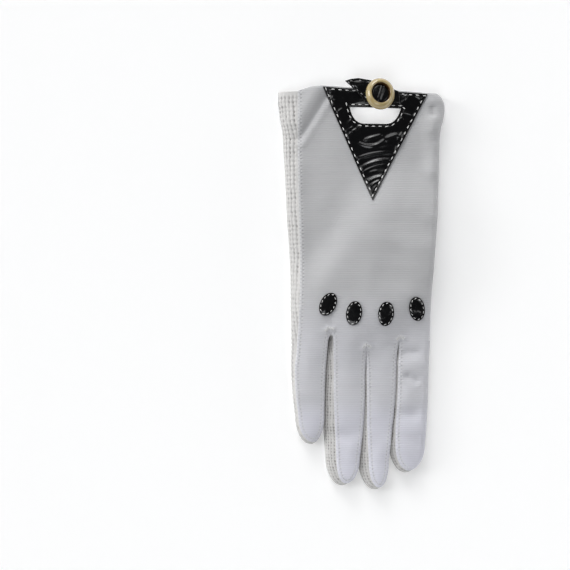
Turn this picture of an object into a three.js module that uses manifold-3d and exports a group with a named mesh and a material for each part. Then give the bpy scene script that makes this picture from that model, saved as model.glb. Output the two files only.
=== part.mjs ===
// Wrist length dress glove for the right hand, lying palm down with its thumb folded under the palm.
// X runs from the little finger side to the thumb side, Y from the fingertips to the cuff, Z up.
// All sizes are in millimetres.

import * as THREE from 'three';
import { mergeVertices } from 'three/addons/utils/BufferGeometryUtils.js';
import Module from 'manifold-3d';

const { clamp, lerp, smoothstep } = THREE.MathUtils;
const wasm = await Module();
wasm.setup();

// Cloth, seams and hollows
const CLOTH = 1.0;
const SEAM_GAP = 0.3;
const WALL_GAP = 0.6;
const TIP_GAP = 0.4;
const CROTCH_DEPTH = 1.6;
const HAND_HOLLOW = 5.9;
const FINGER_HOLLOW = 5.4;
const TIP_HOLLOW = 3.6;
const HAND_CROWN = 1.2;
const FINGER_CROWN = 0.8;
const KNUCKLE_BLEND = 22;
const FOLD_ROUND = 3.5;
const FLANGE = 5.0;

// Trim
const PATENT = 0.9;
const TRIM_GAP = 0.6;
const CUT_REACH = 40;

// The thumb lies as a flattened tapered tube between two round ends
const THUMB = {
  root: new THREE.Vector2(24, 21),
  tip: new THREE.Vector2(-10.2, -12.3),
  rootRadius: 17.5,
  tipRadius: 11.5,
  rootHeight: 6.4,
  tipHeight: 4.8,
  edgeRound: 2.2,
};
const THUMB_HOLE = { x: 25, y: 22, long: 12, wide: 9 };
const THUMB_CLEARANCE = 0.7;
const DRAPE_START = 2.5;
const PALM_DRAPE = 16;
const BACK_DRAPE = 30;
const DRAPE_SPREAD = 0.25;

// The hand, one row for each section from the cuff down to the finger roots:
// outer edge of the mesh strip, seam of the back panel, fold on the thumb side
const HAND = table(['y', 'outer', 'seam', 'fold'], [
  [112, -48.5, -37.0, 43.6],
  [109, -48.5, -37.0, 46.4],
  [106, -48.2, -37.0, 48.0],
  [101.5, -47.4, -37.0, 48.5],
  [96, -46.6, -37.0, 47.4],
  [90, -45.4, -37.0, 45.6],
  [78, -45.0, -37.0, 45.0],
  [60, -44.2, -36.7, 44.5],
  [37, -43.2, -36.2, 43.3],
  [14, -41.6, -35.6, 41.6],
  [-10, -41.0, -36.0, 40.2],
  [-33, -40.4, -36.9, 39.6],
]);

// The cuff edge across the glove, and the three crotches between the fingers
const CUFF = table(['x', 'y'], [
  [-48.5, 112.0],
  [-37.0, 112.8],
  [-30.0, 115.0],
  [-22.3, 115.4],
  [38.4, 110.7],
  [48.5, 109.6],
]);
const CROTCHES = table(['x', 'y'], [
  [-17.8, -29.3],
  [2.8, -40.0],
  [22.1, -32.8],
]);
const ROOT_Y = { little: -29.3, index: -33.0 };
const PALM_CROTCH_SHIFT = -2.5;

// Each finger is a leaning tube: its palm side lies nearer the little finger than its back.
// A row gives the edges of the back and of the palm strip; the end is rounded below the last row.
const STRIP = ['y', 'backLeft', 'backRight', 'palmLeft', 'palmRight'];
const FINGERS = [
  {
    name: 'little', tip: [-28.3, -92.8], palmTip: -30.2,
    rows: table(STRIP, [
      [-29.3, -36.9, -17.8, -40.5, -20.3],
      [-40, -37.6, -20.2, -40.2, -23.6],
      [-50, -38.7, -21.2, -39.7, -25.0],
      [-66, -38.0, -21.8, -38.5, -25.6],
      [-78, -36.6, -22.0, -37.2, -25.4],
    ]),
  },
  {
    name: 'ring', tip: [-9.2, -117.2], palmTip: -13.0,
    rows: table(STRIP, [
      [-29.3, -17.8, 2.8, -20.3, 0.3],
      [-40, -16.2, 2.8, -20.7, 0.3],
      [-50, -15.6, 1.6, -21.0, -2.6],
      [-67, -15.6, 1.2, -21.6, -3.2],
      [-84, -15.0, 0.6, -22.0, -4.2],
      [-103, -14.3, -1.6, -20.9, -6.4],
    ]),
  },
  {
    name: 'middle', tip: [10.6, -119.6], palmTip: 6.4,
    rows: table(STRIP, [
      [-32.8, 2.8, 22.1, 0.3, 19.6],
      [-40, 2.8, 21.2, 0.3, 17.8],
      [-50, 3.8, 20.7, 0.2, 17.0],
      [-67, 4.6, 20.3, 0.2, 16.8],
      [-84, 5.0, 18.8, -0.2, 15.2],
      [-105, 5.0, 15.8, -1.4, 12.0],
    ]),
  },
  {
    name: 'index', tip: [28.2, -109.6], palmTip: 25.2,
    rows: table(STRIP, [
      [-32.8, 22.1, 39.6, 19.6, 34.3],
      [-40, 22.1, 39.2, 20.0, 34.3],
      [-50, 22.1, 38.7, 19.7, 34.2],
      [-67, 21.9, 38.3, 19.4, 33.8],
      [-84, 21.2, 37.5, 18.1, 33.0],
      [-95, 20.3, 36.6, 17.3, 31.8],
    ]),
  },
];

// Folds and dents of the back, each a ridge (or trough) along a line, with its half width and height
const FOLDS = table(['x0', 'y0', 'x1', 'y1', 'width', 'height'], [
  [-20, 104, -33, 83, 3.6, 1.1],
  [-29, 110, -36, 94, 3.2, -0.8],
  [-13, 98, -29, 74, 4.0, -0.7],
  [43, 106, 43, 99, 3.6, 0.7],
  [40, 97, 45, 93, 2.8, -0.7],
  [27, -40, 35, -42, 3.0, -0.5],
  [26, -55, 34, -57, 3.0, -0.6],
  [26, -77, 33, -78, 3.0, -0.5],
  [-12, -88, -6, -90, 3.4, -0.5],
  [-17.8, -25, -17.8, -27, 2.6, 0.5],
  [2.8, -35, 2.8, -37, 2.6, 0.5],
  [22.1, -28, 22.1, -30, 2.6, 0.5],
]);

// Patent triangle, its keyhole, the strap end and the button
const YOKE = { left: [-22.0, 114.9], right: [38.2, 110.3], tip: [6.2, 48.8] };
const KEYHOLE = {
  topLeft: [-7.0, 103.3],
  topRight: [23.0, 102.4],
  bottomLeft: [0.6, 93.5],
  bottomRight: [14.6, 93.3],
  leftBend: [-5.4, 94.5],
  rightBend: [20.6, 93.7],
};
const STRAP_END = [
  [-9.8, 118.1], [-6.4, 119.2], [-2.2, 119.8], [4.7, 118.6], [13.7, 115.6], [21.5, 112.0],
  [22.5, 105.2], [2.2, 105.0], [-0.6, 109.4], [-5.4, 114.2],
];
const STRAP_CURL = { from: 2, length: 12, rise: 1.2 };
const STRAP_LEVEL_Y = 112;
const BUTTON = { x: 11.2, y: 111.1, sides: 28 };
const RING_SECTION = table(['radius', 'height'], [
  [5.6, 0], [7.4, 0], [8.5, 0.9], [8.8, 2.0], [8.3, 3.3],
  [7.4, 4.4], [6.6, 4.6], [5.9, 4.1], [5.6, 3.2], [5.6, 0],
]);
const CENTRE_SECTION = table(['radius', 'height'], [
  [0, 0], [5.2, 0], [5.2, 1.5], [4.5, 2.1], [2.6, 2.4], [0, 2.5],
]);
const OVALS = table(['x', 'y', 'turn'], [
  [-19.8, -12.1, -27],
  [-4.7, -17.3, -9],
  [13.9, -17.7, -5],
  [32.2, -14.9, 10],
]);
const OVAL = { wide: 4.7, high: 7.15 };

// Fineness of the meshes
const HAND_STEPS = 22;
const CUFF_CROWDING = 1.1;
const FINGER_STEPS = 8;
const FINGER_COLUMNS = 4;
const TIP_ANGLES = [28, 52, 70, 83];
const FOLD_ANGLES = [55, 27, 0];
const UNDER_ANGLES = [-30, -60, -90];
const WALL_STEPS = 3;
const TRIM_GRID = 5;
const CURVE_STEPS = 6;
const THUMB_STEPS = 9;
const THUMB_EDGE_STEPS = 3;
const HAND_COLUMNS = FINGERS.length * FINGER_COLUMNS;

// A table is a list of rows with named columns
function table(names, rows) {
  return rows.map((row) => Object.fromEntries(names.map((name, i) => [name, row[i]])));
}

// A smooth curve through one column of a table whose rows go down in y
function smoothColumn(rows, name) {
  const last = rows.length - 1;
  const slope = (i) => {
    const before = rows[Math.max(i - 1, 0)];
    const after = rows[Math.min(i + 1, last)];
    return (after[name] - before[name]) / (after.y - before.y);
  };
  return (y) => {
    let i = 0;
    while (i < last - 1 && y < rows[i + 1].y) i += 1;
    const [a, b] = [rows[i], rows[i + 1]];
    const span = b.y - a.y;
    const s = clamp((y - a.y) / span, 0, 1);
    const blend = s * s * (3 - 2 * s);
    const lead = slope(i) * span * s * (1 - s) * (1 - s);
    const trail = slope(i + 1) * span * s * s * (s - 1);
    return lerp(a[name], b[name], blend) + lead + trail;
  };
}

// Straight lines through one column of a table whose rows go up in its key column
function straightColumn(rows, name, key) {
  return (at) => {
    let i = 0;
    while (i < rows.length - 2 && at > rows[i + 1][key]) i += 1;
    const [a, b] = [rows[i], rows[i + 1]];
    const s = clamp((at - a[key]) / (b[key] - a[key]), 0, 1);
    return lerp(a[name], b[name], s);
  };
}

const outerEdge = smoothColumn(HAND, 'outer');
const seamEdge = smoothColumn(HAND, 'seam');
const foldEdge = smoothColumn(HAND, 'fold');
const cuffEdge = straightColumn(CUFF, 'y', 'x');

// Distance outside the thumb's outline, and how far along the thumb a place lies
const thumbAxis = THUMB.tip.clone().sub(THUMB.root);
function thumbPlace(x, y) {
  const reach = new THREE.Vector2(x, y).sub(THUMB.root);
  const along = clamp(reach.dot(thumbAxis) / thumbAxis.lengthSq(), 0, 1);
  const radius = lerp(THUMB.rootRadius, THUMB.tipRadius, along);
  const outside = reach.distanceTo(thumbAxis.clone().multiplyScalar(along)) - radius;
  return { along, outside };
}

function thumbHeight(along) {
  return lerp(THUMB.rootHeight, THUMB.tipHeight, along);
}

// The cloth above the thumb is lifted by it and falls away around it over the drape's width,
// which spreads towards the cuff
function lift(x, y, drape) {
  const { along, outside } = thumbPlace(x, y);
  const wide = drape + DRAPE_SPREAD * Math.max(y - THUMB.root.y, 0);
  return (thumbHeight(along) + THUMB_CLEARANCE) * (1 - smoothstep(outside, DRAPE_START, wide));
}

function palmBottom(x, y) {
  return lift(x, y, PALM_DRAPE);
}

function palmTop(x, y) {
  return palmBottom(x, y) + CLOTH;
}

function foldRelief(x, y) {
  return FOLDS.reduce((sum, fold) => {
    const [dx, dy] = [fold.x1 - fold.x0, fold.y1 - fold.y0];
    const along = clamp(((x - fold.x0) * dx + (y - fold.y0) * dy) / (dx * dx + dy * dy), 0, 1);
    const away = Math.hypot(x - fold.x0 - along * dx, y - fold.y0 - along * dy);
    return sum + fold.height * Math.exp(-((away / fold.width) ** 2));
  }, 0);
}

function arch(u) {
  return 1 - (2 * u - 1) ** 2;
}

// Places across the hand at which the finger roots meet, as shares of its width
const rootLine = [
  { x: seamEdge(ROOT_Y.little), y: ROOT_Y.little },
  ...CROTCHES,
  { x: foldEdge(ROOT_Y.index) - FOLD_ROUND, y: ROOT_Y.index },
];
const rootWidth = rootLine[4].x - rootLine[0].x;
const rootShares = rootLine.map((point) => ({ share: (point.x - rootLine[0].x) / rootWidth, y: point.y }));
const rootEdge = straightColumn(rootShares, 'y', 'share');

// Height of the hollow under the back: one even crown over the hand, one over each finger at the knuckles
function hollowAt(share, y) {
  const reached = rootShares.slice(0, FINGERS.length).findLastIndex((root) => root.share <= share);
  const finger = Math.max(0, reached);
  const [a, b] = [rootShares[finger].share, rootShares[finger + 1].share];
  const fingerHeight = FINGER_HOLLOW + FINGER_CROWN * arch(clamp((share - a) / (b - a), 0, 1));
  const knuckle = 1 - smoothstep(y - rootEdge(share), 0, KNUCKLE_BLEND);
  return lerp(HAND_HOLLOW + HAND_CROWN * arch(share), fingerHeight, knuckle);
}

// Top surface of the back at a place on the hand
function backTop(x, y) {
  const [seam, fold] = [seamEdge(y), foldEdge(y) - FOLD_ROUND];
  const share = clamp((x - seam) / (fold - seam), 0, 1);
  return 2 * CLOTH + hollowAt(share, y) + lift(x, y, BACK_DRAPE) + foldRelief(x, y);
}

// A closed sheet from two surfaces that share their rows of quads
function closedSheet(top, bottom, quads) {
  const positions = [...top, ...bottom].flatMap((point) => point.toArray());
  const shift = top.length;
  const index = [];
  const open = new Map();
  quads.forEach((corners) => {
    for (let i = 2; i < corners.length; i += 1) {
      index.push(corners[0], corners[i - 1], corners[i]);
      index.push(corners[0] + shift, corners[i] + shift, corners[i - 1] + shift);
    }
    corners.forEach((from, i) => {
      const to = corners[(i + 1) % corners.length];
      if (!open.delete(`${to} ${from}`)) open.set(`${from} ${to}`, [from, to]);
    });
  });
  open.forEach(([from, to]) => {
    index.push(to, from, from + shift, to, from + shift, to + shift);
  });
  const geometry = new THREE.BufferGeometry();
  geometry.setAttribute('position', new THREE.Float32BufferAttribute(positions, 3));
  geometry.setIndex(index);
  return geometry;
}

// Cloth of even thickness around a middle surface
function clothSheet(points, quads, thickness) {
  const normals = points.map(() => new THREE.Vector3());
  quads.forEach(([a, b, c, d]) => {
    const normal = points[c].clone().sub(points[a]).cross(points[d].clone().sub(points[b])).normalize();
    [a, b, c, d].forEach((corner) => normals[corner].add(normal));
  });
  const offset = (side) => points.map((point, i) => (
    point.clone().addScaledVector(normals[i].normalize(), side * thickness / 2)
  ));
  return closedSheet(offset(1), offset(-1), quads);
}

function asSolid(geometry) {
  const bare = geometry.clone();
  bare.deleteAttribute('normal');
  bare.deleteAttribute('uv');
  const merged = mergeVertices(bare, 1e-5);
  return new wasm.Manifold(new wasm.Mesh({
    numProp: 3,
    vertProperties: new Float32Array(merged.attributes.position.array),
    triVerts: new Uint32Array(merged.index.array),
  }));
}

function asGeometry(solid) {
  const mesh = solid.getMesh();
  const geometry = new THREE.BufferGeometry();
  geometry.setAttribute('position', new THREE.BufferAttribute(mesh.vertProperties.slice(), 3));
  geometry.setIndex(new THREE.BufferAttribute(mesh.triVerts.slice(), 1));
  return geometry;
}

// A straight cutter through the whole glove, with a plane outline
function cutter(outline) {
  return asSolid(new THREE.ExtrudeGeometry(outline, {
    depth: CUT_REACH, bevelEnabled: false, curveSegments: CURVE_STEPS,
  }));
}

// Rows of one strip of a finger, on its back or palm side, from root to tip:
// each gives its left and right end and how far the end's rounding has come
function fingerRows(finger, side, roots) {
  const left = smoothColumn(finger.rows, `${side}Left`);
  const right = smoothColumn(finger.rows, `${side}Right`);
  const endY = finger.rows.at(-1).y;
  const tipX = side === 'back' ? finger.tip[0] : finger.palmTip;
  const tipY = finger.tip[1];
  const rows = [];
  for (let i = 0; i <= FINGER_STEPS; i += 1) {
    const s = i / FINGER_STEPS;
    const [leftY, rightY] = roots.map((root) => lerp(root.y, endY, s));
    rows.push({ left: [left(leftY), leftY], right: [right(rightY), rightY], narrow: 1 });
  }
  rows[0].left[0] = roots[0].x;
  rows[0].right[0] = roots[1].x;
  TIP_ANGLES.forEach((degrees) => {
    const angle = THREE.MathUtils.degToRad(degrees);
    const [narrow, y] = [Math.cos(angle), lerp(endY, tipY, Math.sin(angle))];
    const ends = [left(endY), right(endY)].map((x) => [lerp(tipX, x, narrow), y]);
    rows.push({ left: ends[0], right: ends[1], narrow });
  });
  return rows;
}

// Roots of a finger on a side: the crotches, or the seam and the fold at the hand's edges
function fingerRoots(index, side) {
  const shift = side === 'back' ? 0 : PALM_CROTCH_SHIFT;
  const crotch = (i) => ({ x: CROTCHES[i].x + shift, y: CROTCHES[i].y });
  const { rows } = FINGERS[index];
  const left = index === 0 ? { x: rows[0][`${side}Left`], y: ROOT_Y.little } : crotch(index - 1);
  const right = index === 3 ? { x: rows[0][`${side}Right`], y: ROOT_Y.index } : crotch(index);
  return [left, right];
}

const strips = Object.fromEntries(['back', 'palm'].map((side) => (
  [side, FINGERS.map((finger, i) => fingerRows(finger, side, fingerRoots(i, side)))]
)));

// Clear height of a finger beside its walls, lower where its end is rounded
function fingerHollow(narrow) {
  return lerp(TIP_HOLLOW, FINGER_HOLLOW, narrow);
}

function fingerBackTop(x, y, narrow, across) {
  const crown = FINGER_CROWN * arch(across) * narrow;
  return 2 * CLOTH + fingerHollow(narrow) + crown + lift(x, y, BACK_DRAPE) + foldRelief(x, y);
}

// Lines across the hand from the cuff down to the finger roots, crowded towards the cuff
function handLine(step) {
  return (step / HAND_STEPS) ** CUFF_CROWDING;
}

// Points and quads of a comb: rows over the hand, then a strip of rows for each finger
function comb(handPoint, fingerPoint, extraHand, extraIndex) {
  const points = [];
  const quads = [];
  const add = (point) => points.push(point) - 1;
  const join = (upper, lower) => {
    for (let i = 1; i < Math.min(upper.length, lower.length); i += 1) {
      quads.push([upper[i - 1], lower[i - 1], lower[i], upper[i]]);
    }
  };
  let above = null;
  for (let step = 0; step <= HAND_STEPS; step += 1) {
    const line = [];
    for (let column = 0; column <= HAND_COLUMNS; column += 1) line.push(add(handPoint(column, step)));
    extraHand(step).forEach((point) => line.push(add(point)));
    if (above) join(above, line);
    above = line;
  }
  FINGERS.forEach((finger, f) => {
    const extra = f === 3 ? extraIndex(0).length : 0;
    let upper = above.slice(f * FINGER_COLUMNS, (f + 1) * FINGER_COLUMNS + 1 + extra);
    for (let row = 1; row < strips.back[f].length; row += 1) {
      const lower = [];
      for (let i = 0; i <= FINGER_COLUMNS; i += 1) lower.push(add(fingerPoint(f, row, i / FINGER_COLUMNS)));
      if (f === 3) extraIndex(row).forEach((point) => lower.push(add(point)));
      join(upper, lower);
      upper = lower;
    }
  });
  return [points, quads];
}

// Share of a column across the hand: the columns of each finger run on up to the cuff
function columnShare(column) {
  const finger = Math.min(Math.floor(column / FINGER_COLUMNS), 3);
  const within = column / FINGER_COLUMNS - finger;
  return lerp(rootShares[finger].share, rootShares[finger + 1].share, within);
}

function handPlace(column, step, leftEdge, rightEdge) {
  const share = columnShare(column);
  const cuffX = lerp(leftEdge(HAND[0].y), rightEdge(HAND[0].y), share);
  const y = lerp(cuffEdge(cuffX), rootEdge(share), handLine(step));
  return [lerp(leftEdge(y), rightEdge(y), share), y];
}

// The rounded fold on the thumb side: middle line of the cloth at some angles round it
function foldPoints(y, outerX, top, bottom, round, angles) {
  const middle = (top + bottom) / 2;
  return angles.map((degrees) => {
    const angle = THREE.MathUtils.degToRad(degrees);
    const x = outerX - round + (round - CLOTH / 2) * Math.cos(angle);
    return new THREE.Vector3(x, y, middle + (top - middle) * Math.sin(angle));
  });
}

function backPanel() {
  const rightEdge = (y) => foldEdge(y) - FOLD_ROUND;
  const handPoint = (column, step) => {
    const [x, y] = handPlace(column, step, seamEdge, rightEdge);
    return new THREE.Vector3(x, y, backTop(x, y) - CLOTH / 2);
  };
  const extraHand = (step) => {
    const edge = handPoint(HAND_COLUMNS, step);
    const outerX = foldEdge(edge.y);
    const bottom = palmBottom(outerX - FOLD_ROUND, edge.y) + CLOTH / 2;
    const angles = [...FOLD_ANGLES, ...UNDER_ANGLES];
    const round = foldPoints(edge.y, outerX, edge.z, bottom, FOLD_ROUND, angles);
    const flangeX = outerX - FLANGE;
    const flange = new THREE.Vector3(flangeX, edge.y, palmBottom(flangeX, edge.y) + CLOTH / 2);
    return [...round, flange];
  };
  const place = (f, row, across) => {
    const { left, right, narrow } = strips.back[f][row];
    const inset = f === 3 ? FOLD_ROUND * narrow : 0;
    const x = lerp(left[0], right[0] - inset, across);
    const y = lerp(left[1], right[1], across);
    return new THREE.Vector3(x, y, fingerBackTop(x, y, narrow, across) - CLOTH / 2);
  };
  const extraIndex = (row) => {
    const { right, narrow } = strips.back[3][row];
    const edge = place(3, row, 1);
    const bottom = palmTop(right[0], right[1]) - CLOTH / 2;
    return foldPoints(edge.y, right[0], edge.z, bottom, Math.max(FOLD_ROUND * narrow, CLOTH), FOLD_ANGLES);
  };
  const sheet = clothSheet(...comb(handPoint, place, extraHand, extraIndex), CLOTH);
  return asGeometry(asSolid(sheet).subtract(cutter(keyholeOutline())));
}

function palmPanel() {
  const rightEdge = (y) => foldEdge(y) - FLANGE - SEAM_GAP;
  const sheetPoint = (x, y) => new THREE.Vector3(x, y, palmBottom(x, y) + CLOTH / 2);
  const handPoint = (column, step) => {
    const [x, y] = handPlace(column, step, outerEdge, rightEdge);
    if (step < HAND_STEPS) return sheetPoint(x, y);
    const finger = Math.min(Math.floor(column / FINGER_COLUMNS), 3);
    return fingerPoint(finger, 0, column / FINGER_COLUMNS - finger);
  };
  const fingerPoint = (f, row, across) => {
    const { left, right } = strips.palm[f][row];
    return sheetPoint(lerp(left[0], right[0], across), lerp(left[1], right[1], across));
  };
  const none = () => [];
  const sheet = clothSheet(...comb(handPoint, fingerPoint, none, none), CLOTH);
  return asGeometry(asSolid(sheet).subtract(cutter(thumbHoleOutline())));
}

// A mesh wall between the palm's and the back's edge. The wall's inner side is on the left of its path.
function meshWall(path) {
  const heading = (i, level) => {
    const before = path[Math.max(i - 1, 0)][level];
    const after = path[Math.min(i + 1, path.length - 1)][level];
    return new THREE.Vector2(after.x - before.x, after.y - before.y).normalize();
  };
  const outer = [];
  const inner = [];
  const quads = [];
  path.forEach(({ low, high, depth, ...end }, i) => {
    const ahead = heading(i, 'low').add(heading(i, 'high')).normalize();
    const inward = end.inward ?? new THREE.Vector3(-ahead.y, ahead.x, 0);
    const lean = high.clone().sub(low).dot(inward) / (high.z - low.z);
    const thick = CLOTH * (depth ?? Math.hypot(1, lean));
    const [innerLow, innerHigh] = [low, high].map((point) => point.clone().addScaledVector(inward, thick));
    innerLow.z = Math.max(low.z, palmTop(innerLow.x, innerLow.y) + WALL_GAP);
    for (let k = 0; k <= WALL_STEPS; k += 1) {
      outer.push(low.clone().lerp(high, k / WALL_STEPS));
      inner.push(innerLow.clone().lerp(innerHigh, k / WALL_STEPS));
    }
    if (i === 0) return;
    const [a, b] = [(i - 1) * (WALL_STEPS + 1), i * (WALL_STEPS + 1)];
    for (let k = 0; k < WALL_STEPS; k += 1) quads.push([a + k, b + k, b + k + 1, a + k + 1]);
  });
  return closedSheet(outer, inner, quads);
}

// Ends of a wall at one row of a finger, just inside the edges of its palm and back strips.
// Near the fingertip the wall runs across the finger, where its lean adds no depth.
function wallEnds(f, row, hand) {
  const palm = strips.palm[f][row][hand];
  const { narrow, [hand]: back } = strips.back[f][row];
  const step = wallStep(palm, back, fingerBackTop(back[0], back[1], narrow, 0));
  return narrow < 0.5 ? { ...step, depth: 1 } : step;
}

function wallStep([palmX, palmY], [backX, backY], top) {
  return {
    low: new THREE.Vector3(palmX, palmY, palmTop(palmX, palmY) + WALL_GAP),
    high: new THREE.Vector3(backX, backY, top - CLOTH - WALL_GAP),
  };
}

// The last step of a wall, at the middle of the fingertip
function wallTip(f, sign) {
  const last = strips.back[f].length - 1;
  const { low, high } = wallEnds(f, last, sign < 0 ? 'left' : 'right');
  low.x = FINGERS[f].palmTip + sign * TIP_GAP / 2;
  high.x = FINGERS[f].tip[0] + sign * TIP_GAP / 2;
  return { low, high, inward: new THREE.Vector3(0, 1, 0) };
}

function rowsOf(f) {
  return strips.back[f].map((_, row) => row);
}

function fourchette(f) {
  const up = rowsOf(f).slice(1).reverse().map((row) => wallEnds(f, row, 'right'));
  const down = rowsOf(f + 1).slice(1).map((row) => wallEnds(f + 1, row, 'left'));
  const crotch = { ...wallEnds(f, 0, 'right'), depth: CROTCH_DEPTH };
  return meshWall([wallTip(f, 1), ...up, crotch, ...down, wallTip(f + 1, -1)]);
}

function sideStrip() {
  const path = [];
  for (let step = 0; step < HAND_STEPS; step += 1) {
    const y = lerp(cuffEdge(seamEdge(HAND[0].y)), ROOT_Y.little, handLine(step));
    const seam = seamEdge(y);
    path.push(wallStep([outerEdge(y), y], [seam, y], backTop(seam, y)));
  }
  rowsOf(0).forEach((row) => path.push(wallEnds(0, row, 'left')));
  return meshWall([...path, wallTip(0, -1)]);
}

function indexSideStrip() {
  const path = rowsOf(3).reverse().map((row) => {
    const { right, narrow } = strips.back[3][row];
    const inset = FOLD_ROUND * narrow;
    const top = fingerBackTop(right[0] - inset, right[1], narrow, 1) - CLOTH / 2;
    const middle = (top + palmTop(right[0], right[1]) - CLOTH / 2) / 2;
    const { low } = wallStep(strips.palm[3][row].right, right, 0);
    return { low, high: new THREE.Vector3(right[0] - SEAM_GAP, right[1], middle - WALL_GAP) };
  });
  const tip = wallTip(3, 1);
  tip.high.z = path[0].high.z;
  const joint = path.at(-1);
  joint.low.y -= SEAM_GAP;
  joint.high.y -= SEAM_GAP;
  return meshWall([tip, ...path]);
}

// Outline of the thumb from above, drawn in by some distance
function thumbOutline(inset) {
  const turn = Math.atan2(thumbAxis.y, thumbAxis.x);
  const [rootRadius, tipRadius] = [THUMB.rootRadius - inset, THUMB.tipRadius - inset];
  const lean = Math.asin((rootRadius - tipRadius) / thumbAxis.length());
  const shape = new THREE.Shape();
  const half = Math.PI / 2 - lean;
  shape.absarc(THUMB.tip.x, THUMB.tip.y, tipRadius, turn - half, turn + half, false);
  shape.absarc(THUMB.root.x, THUMB.root.y, rootRadius, turn + half, turn - half + 2 * Math.PI, false);
  return shape;
}

function thumbHoleOutline() {
  const shape = new THREE.Shape();
  const { x, y, long, wide } = THUMB_HOLE;
  shape.absellipse(x, y, long, wide, 0, 2 * Math.PI, false, Math.atan2(thumbAxis.y, thumbAxis.x));
  return shape;
}

// A rounded cushion of the thumb's outline, its height following the thumb from root to tip.
// It is extruded three units high, for the lower edge, the side and the upper edge, and then scaled.
function thumbCushion(inset) {
  const geometry = new THREE.ExtrudeGeometry(thumbOutline(inset + THUMB.edgeRound), {
    depth: 1,
    bevelThickness: 1,
    bevelSize: THUMB.edgeRound,
    bevelSegments: THUMB_EDGE_STEPS,
    curveSegments: THUMB_STEPS,
  });
  const position = geometry.attributes.position;
  for (let i = 0; i < position.count; i += 1) {
    const share = (position.getZ(i) + 1) / 3;
    const { along } = thumbPlace(position.getX(i), position.getY(i));
    position.setZ(i, lerp(inset, thumbHeight(along) - inset, share));
  }
  return asSolid(geometry);
}

// The thumb's tube, open at its mouth above its lower wall
function thumb() {
  const tube = thumbCushion(0).subtract(thumbCushion(CLOTH));
  const mouth = cutter(thumbHoleOutline()).translate([0, 0, 2 * CLOTH]);
  return asGeometry(tube.subtract(mouth));
}

function polygon(points) {
  return new THREE.Shape(points.map(([x, y]) => new THREE.Vector2(x, y)));
}

function keyholeOutline() {
  const { topLeft, topRight, bottomLeft, bottomRight, leftBend, rightBend } = KEYHOLE;
  const shape = new THREE.Shape();
  shape.moveTo(...topLeft);
  shape.quadraticCurveTo(...leftBend, ...bottomLeft);
  shape.lineTo(...bottomRight);
  shape.quadraticCurveTo(...rightBend, ...topRight);
  return shape;
}

// A piece laid on the back: a slab that follows the cloth, cut to an outline
function trimPiece(outline, bottomAt, thickness) {
  const box = new THREE.Box2().setFromPoints(outline.getPoints(CURVE_STEPS)).expandByScalar(1);
  const size = box.getSize(new THREE.Vector2());
  const [across, along] = [size.x, size.y].map((length) => Math.max(3, Math.ceil(length / TRIM_GRID)));
  const [top, bottom, quads] = [[], [], []];
  for (let row = 0; row <= along; row += 1) {
    for (let column = 0; column <= across; column += 1) {
      const x = box.min.x + size.x * column / across;
      const y = box.min.y + size.y * row / along;
      const z = bottomAt(x, y);
      bottom.push(new THREE.Vector3(x, y, z));
      top.push(new THREE.Vector3(x, y, z + thickness));
      if (row === 0 || column === 0) continue;
      const corner = row * (across + 1) + column;
      quads.push([corner - across - 2, corner - across - 1, corner, corner - 1]);
    }
  }
  return asSolid(closedSheet(top, bottom, quads)).intersect(cutter(outline));
}

function yokeBottom(x, y) {
  return backTop(x, y) + TRIM_GAP;
}

function patentYoke() {
  const outline = polygon([YOKE.left, YOKE.tip, YOKE.right]);
  const yoke = trimPiece(outline, yokeBottom, PATENT).subtract(cutter(keyholeOutline()));
  return asGeometry(yoke);
}

// The strap end lies on the yoke, runs on level past the cuff edge and curls up at its tip
function strapBottom(x, y) {
  const curl = clamp((STRAP_CURL.from - x) / STRAP_CURL.length, 0, 1) ** 2;
  return yokeBottom(x, Math.min(y, STRAP_LEVEL_Y)) + PATENT + TRIM_GAP + STRAP_CURL.rise * curl;
}

function strapTab() {
  return asGeometry(trimPiece(polygon([...STRAP_END].reverse()), strapBottom, PATENT));
}

function ovalOutline({ x, y, turn }) {
  const shape = new THREE.Shape();
  shape.absellipse(x, y, OVAL.wide, OVAL.high, 0, 2 * Math.PI, false, THREE.MathUtils.degToRad(turn));
  return shape;
}

const buttonSeat = strapBottom(BUTTON.x, BUTTON.y) + PATENT + TRIM_GAP;

// A piece turned around its own axis from its section
function turned(section) {
  const profile = section.map(({ radius, height }) => new THREE.Vector2(radius, height));
  return new THREE.LatheGeometry(profile, BUTTON.sides);
}

const glove = new THREE.Group();

function addPiece(name, geometry, [color, roughness]) {
  const material = new THREE.MeshStandardMaterial({ color, roughness, metalness: 0 });
  const mesh = new THREE.Mesh(geometry, material);
  mesh.name = name;
  glove.add(mesh);
  return mesh;
}

// A turned piece stands on its flat foot at the button's place
function addTurned(name, geometry, finish) {
  const mesh = addPiece(name, geometry, finish);
  mesh.rotation.x = Math.PI / 2;
  mesh.position.set(BUTTON.x, BUTTON.y, buttonSeat);
}

const RIBBED_CLOTH = [0xe9e9ea, 0.85];
const PLAIN_CLOTH = [0xececec, 0.85];
const EYELET_MESH = [0xe4e2da, 0.9];
const BLACK_PATENT = [0x0b0b0d, 0.18];
const TAN_PLASTIC = [0xb49a62, 0.3];

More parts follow.
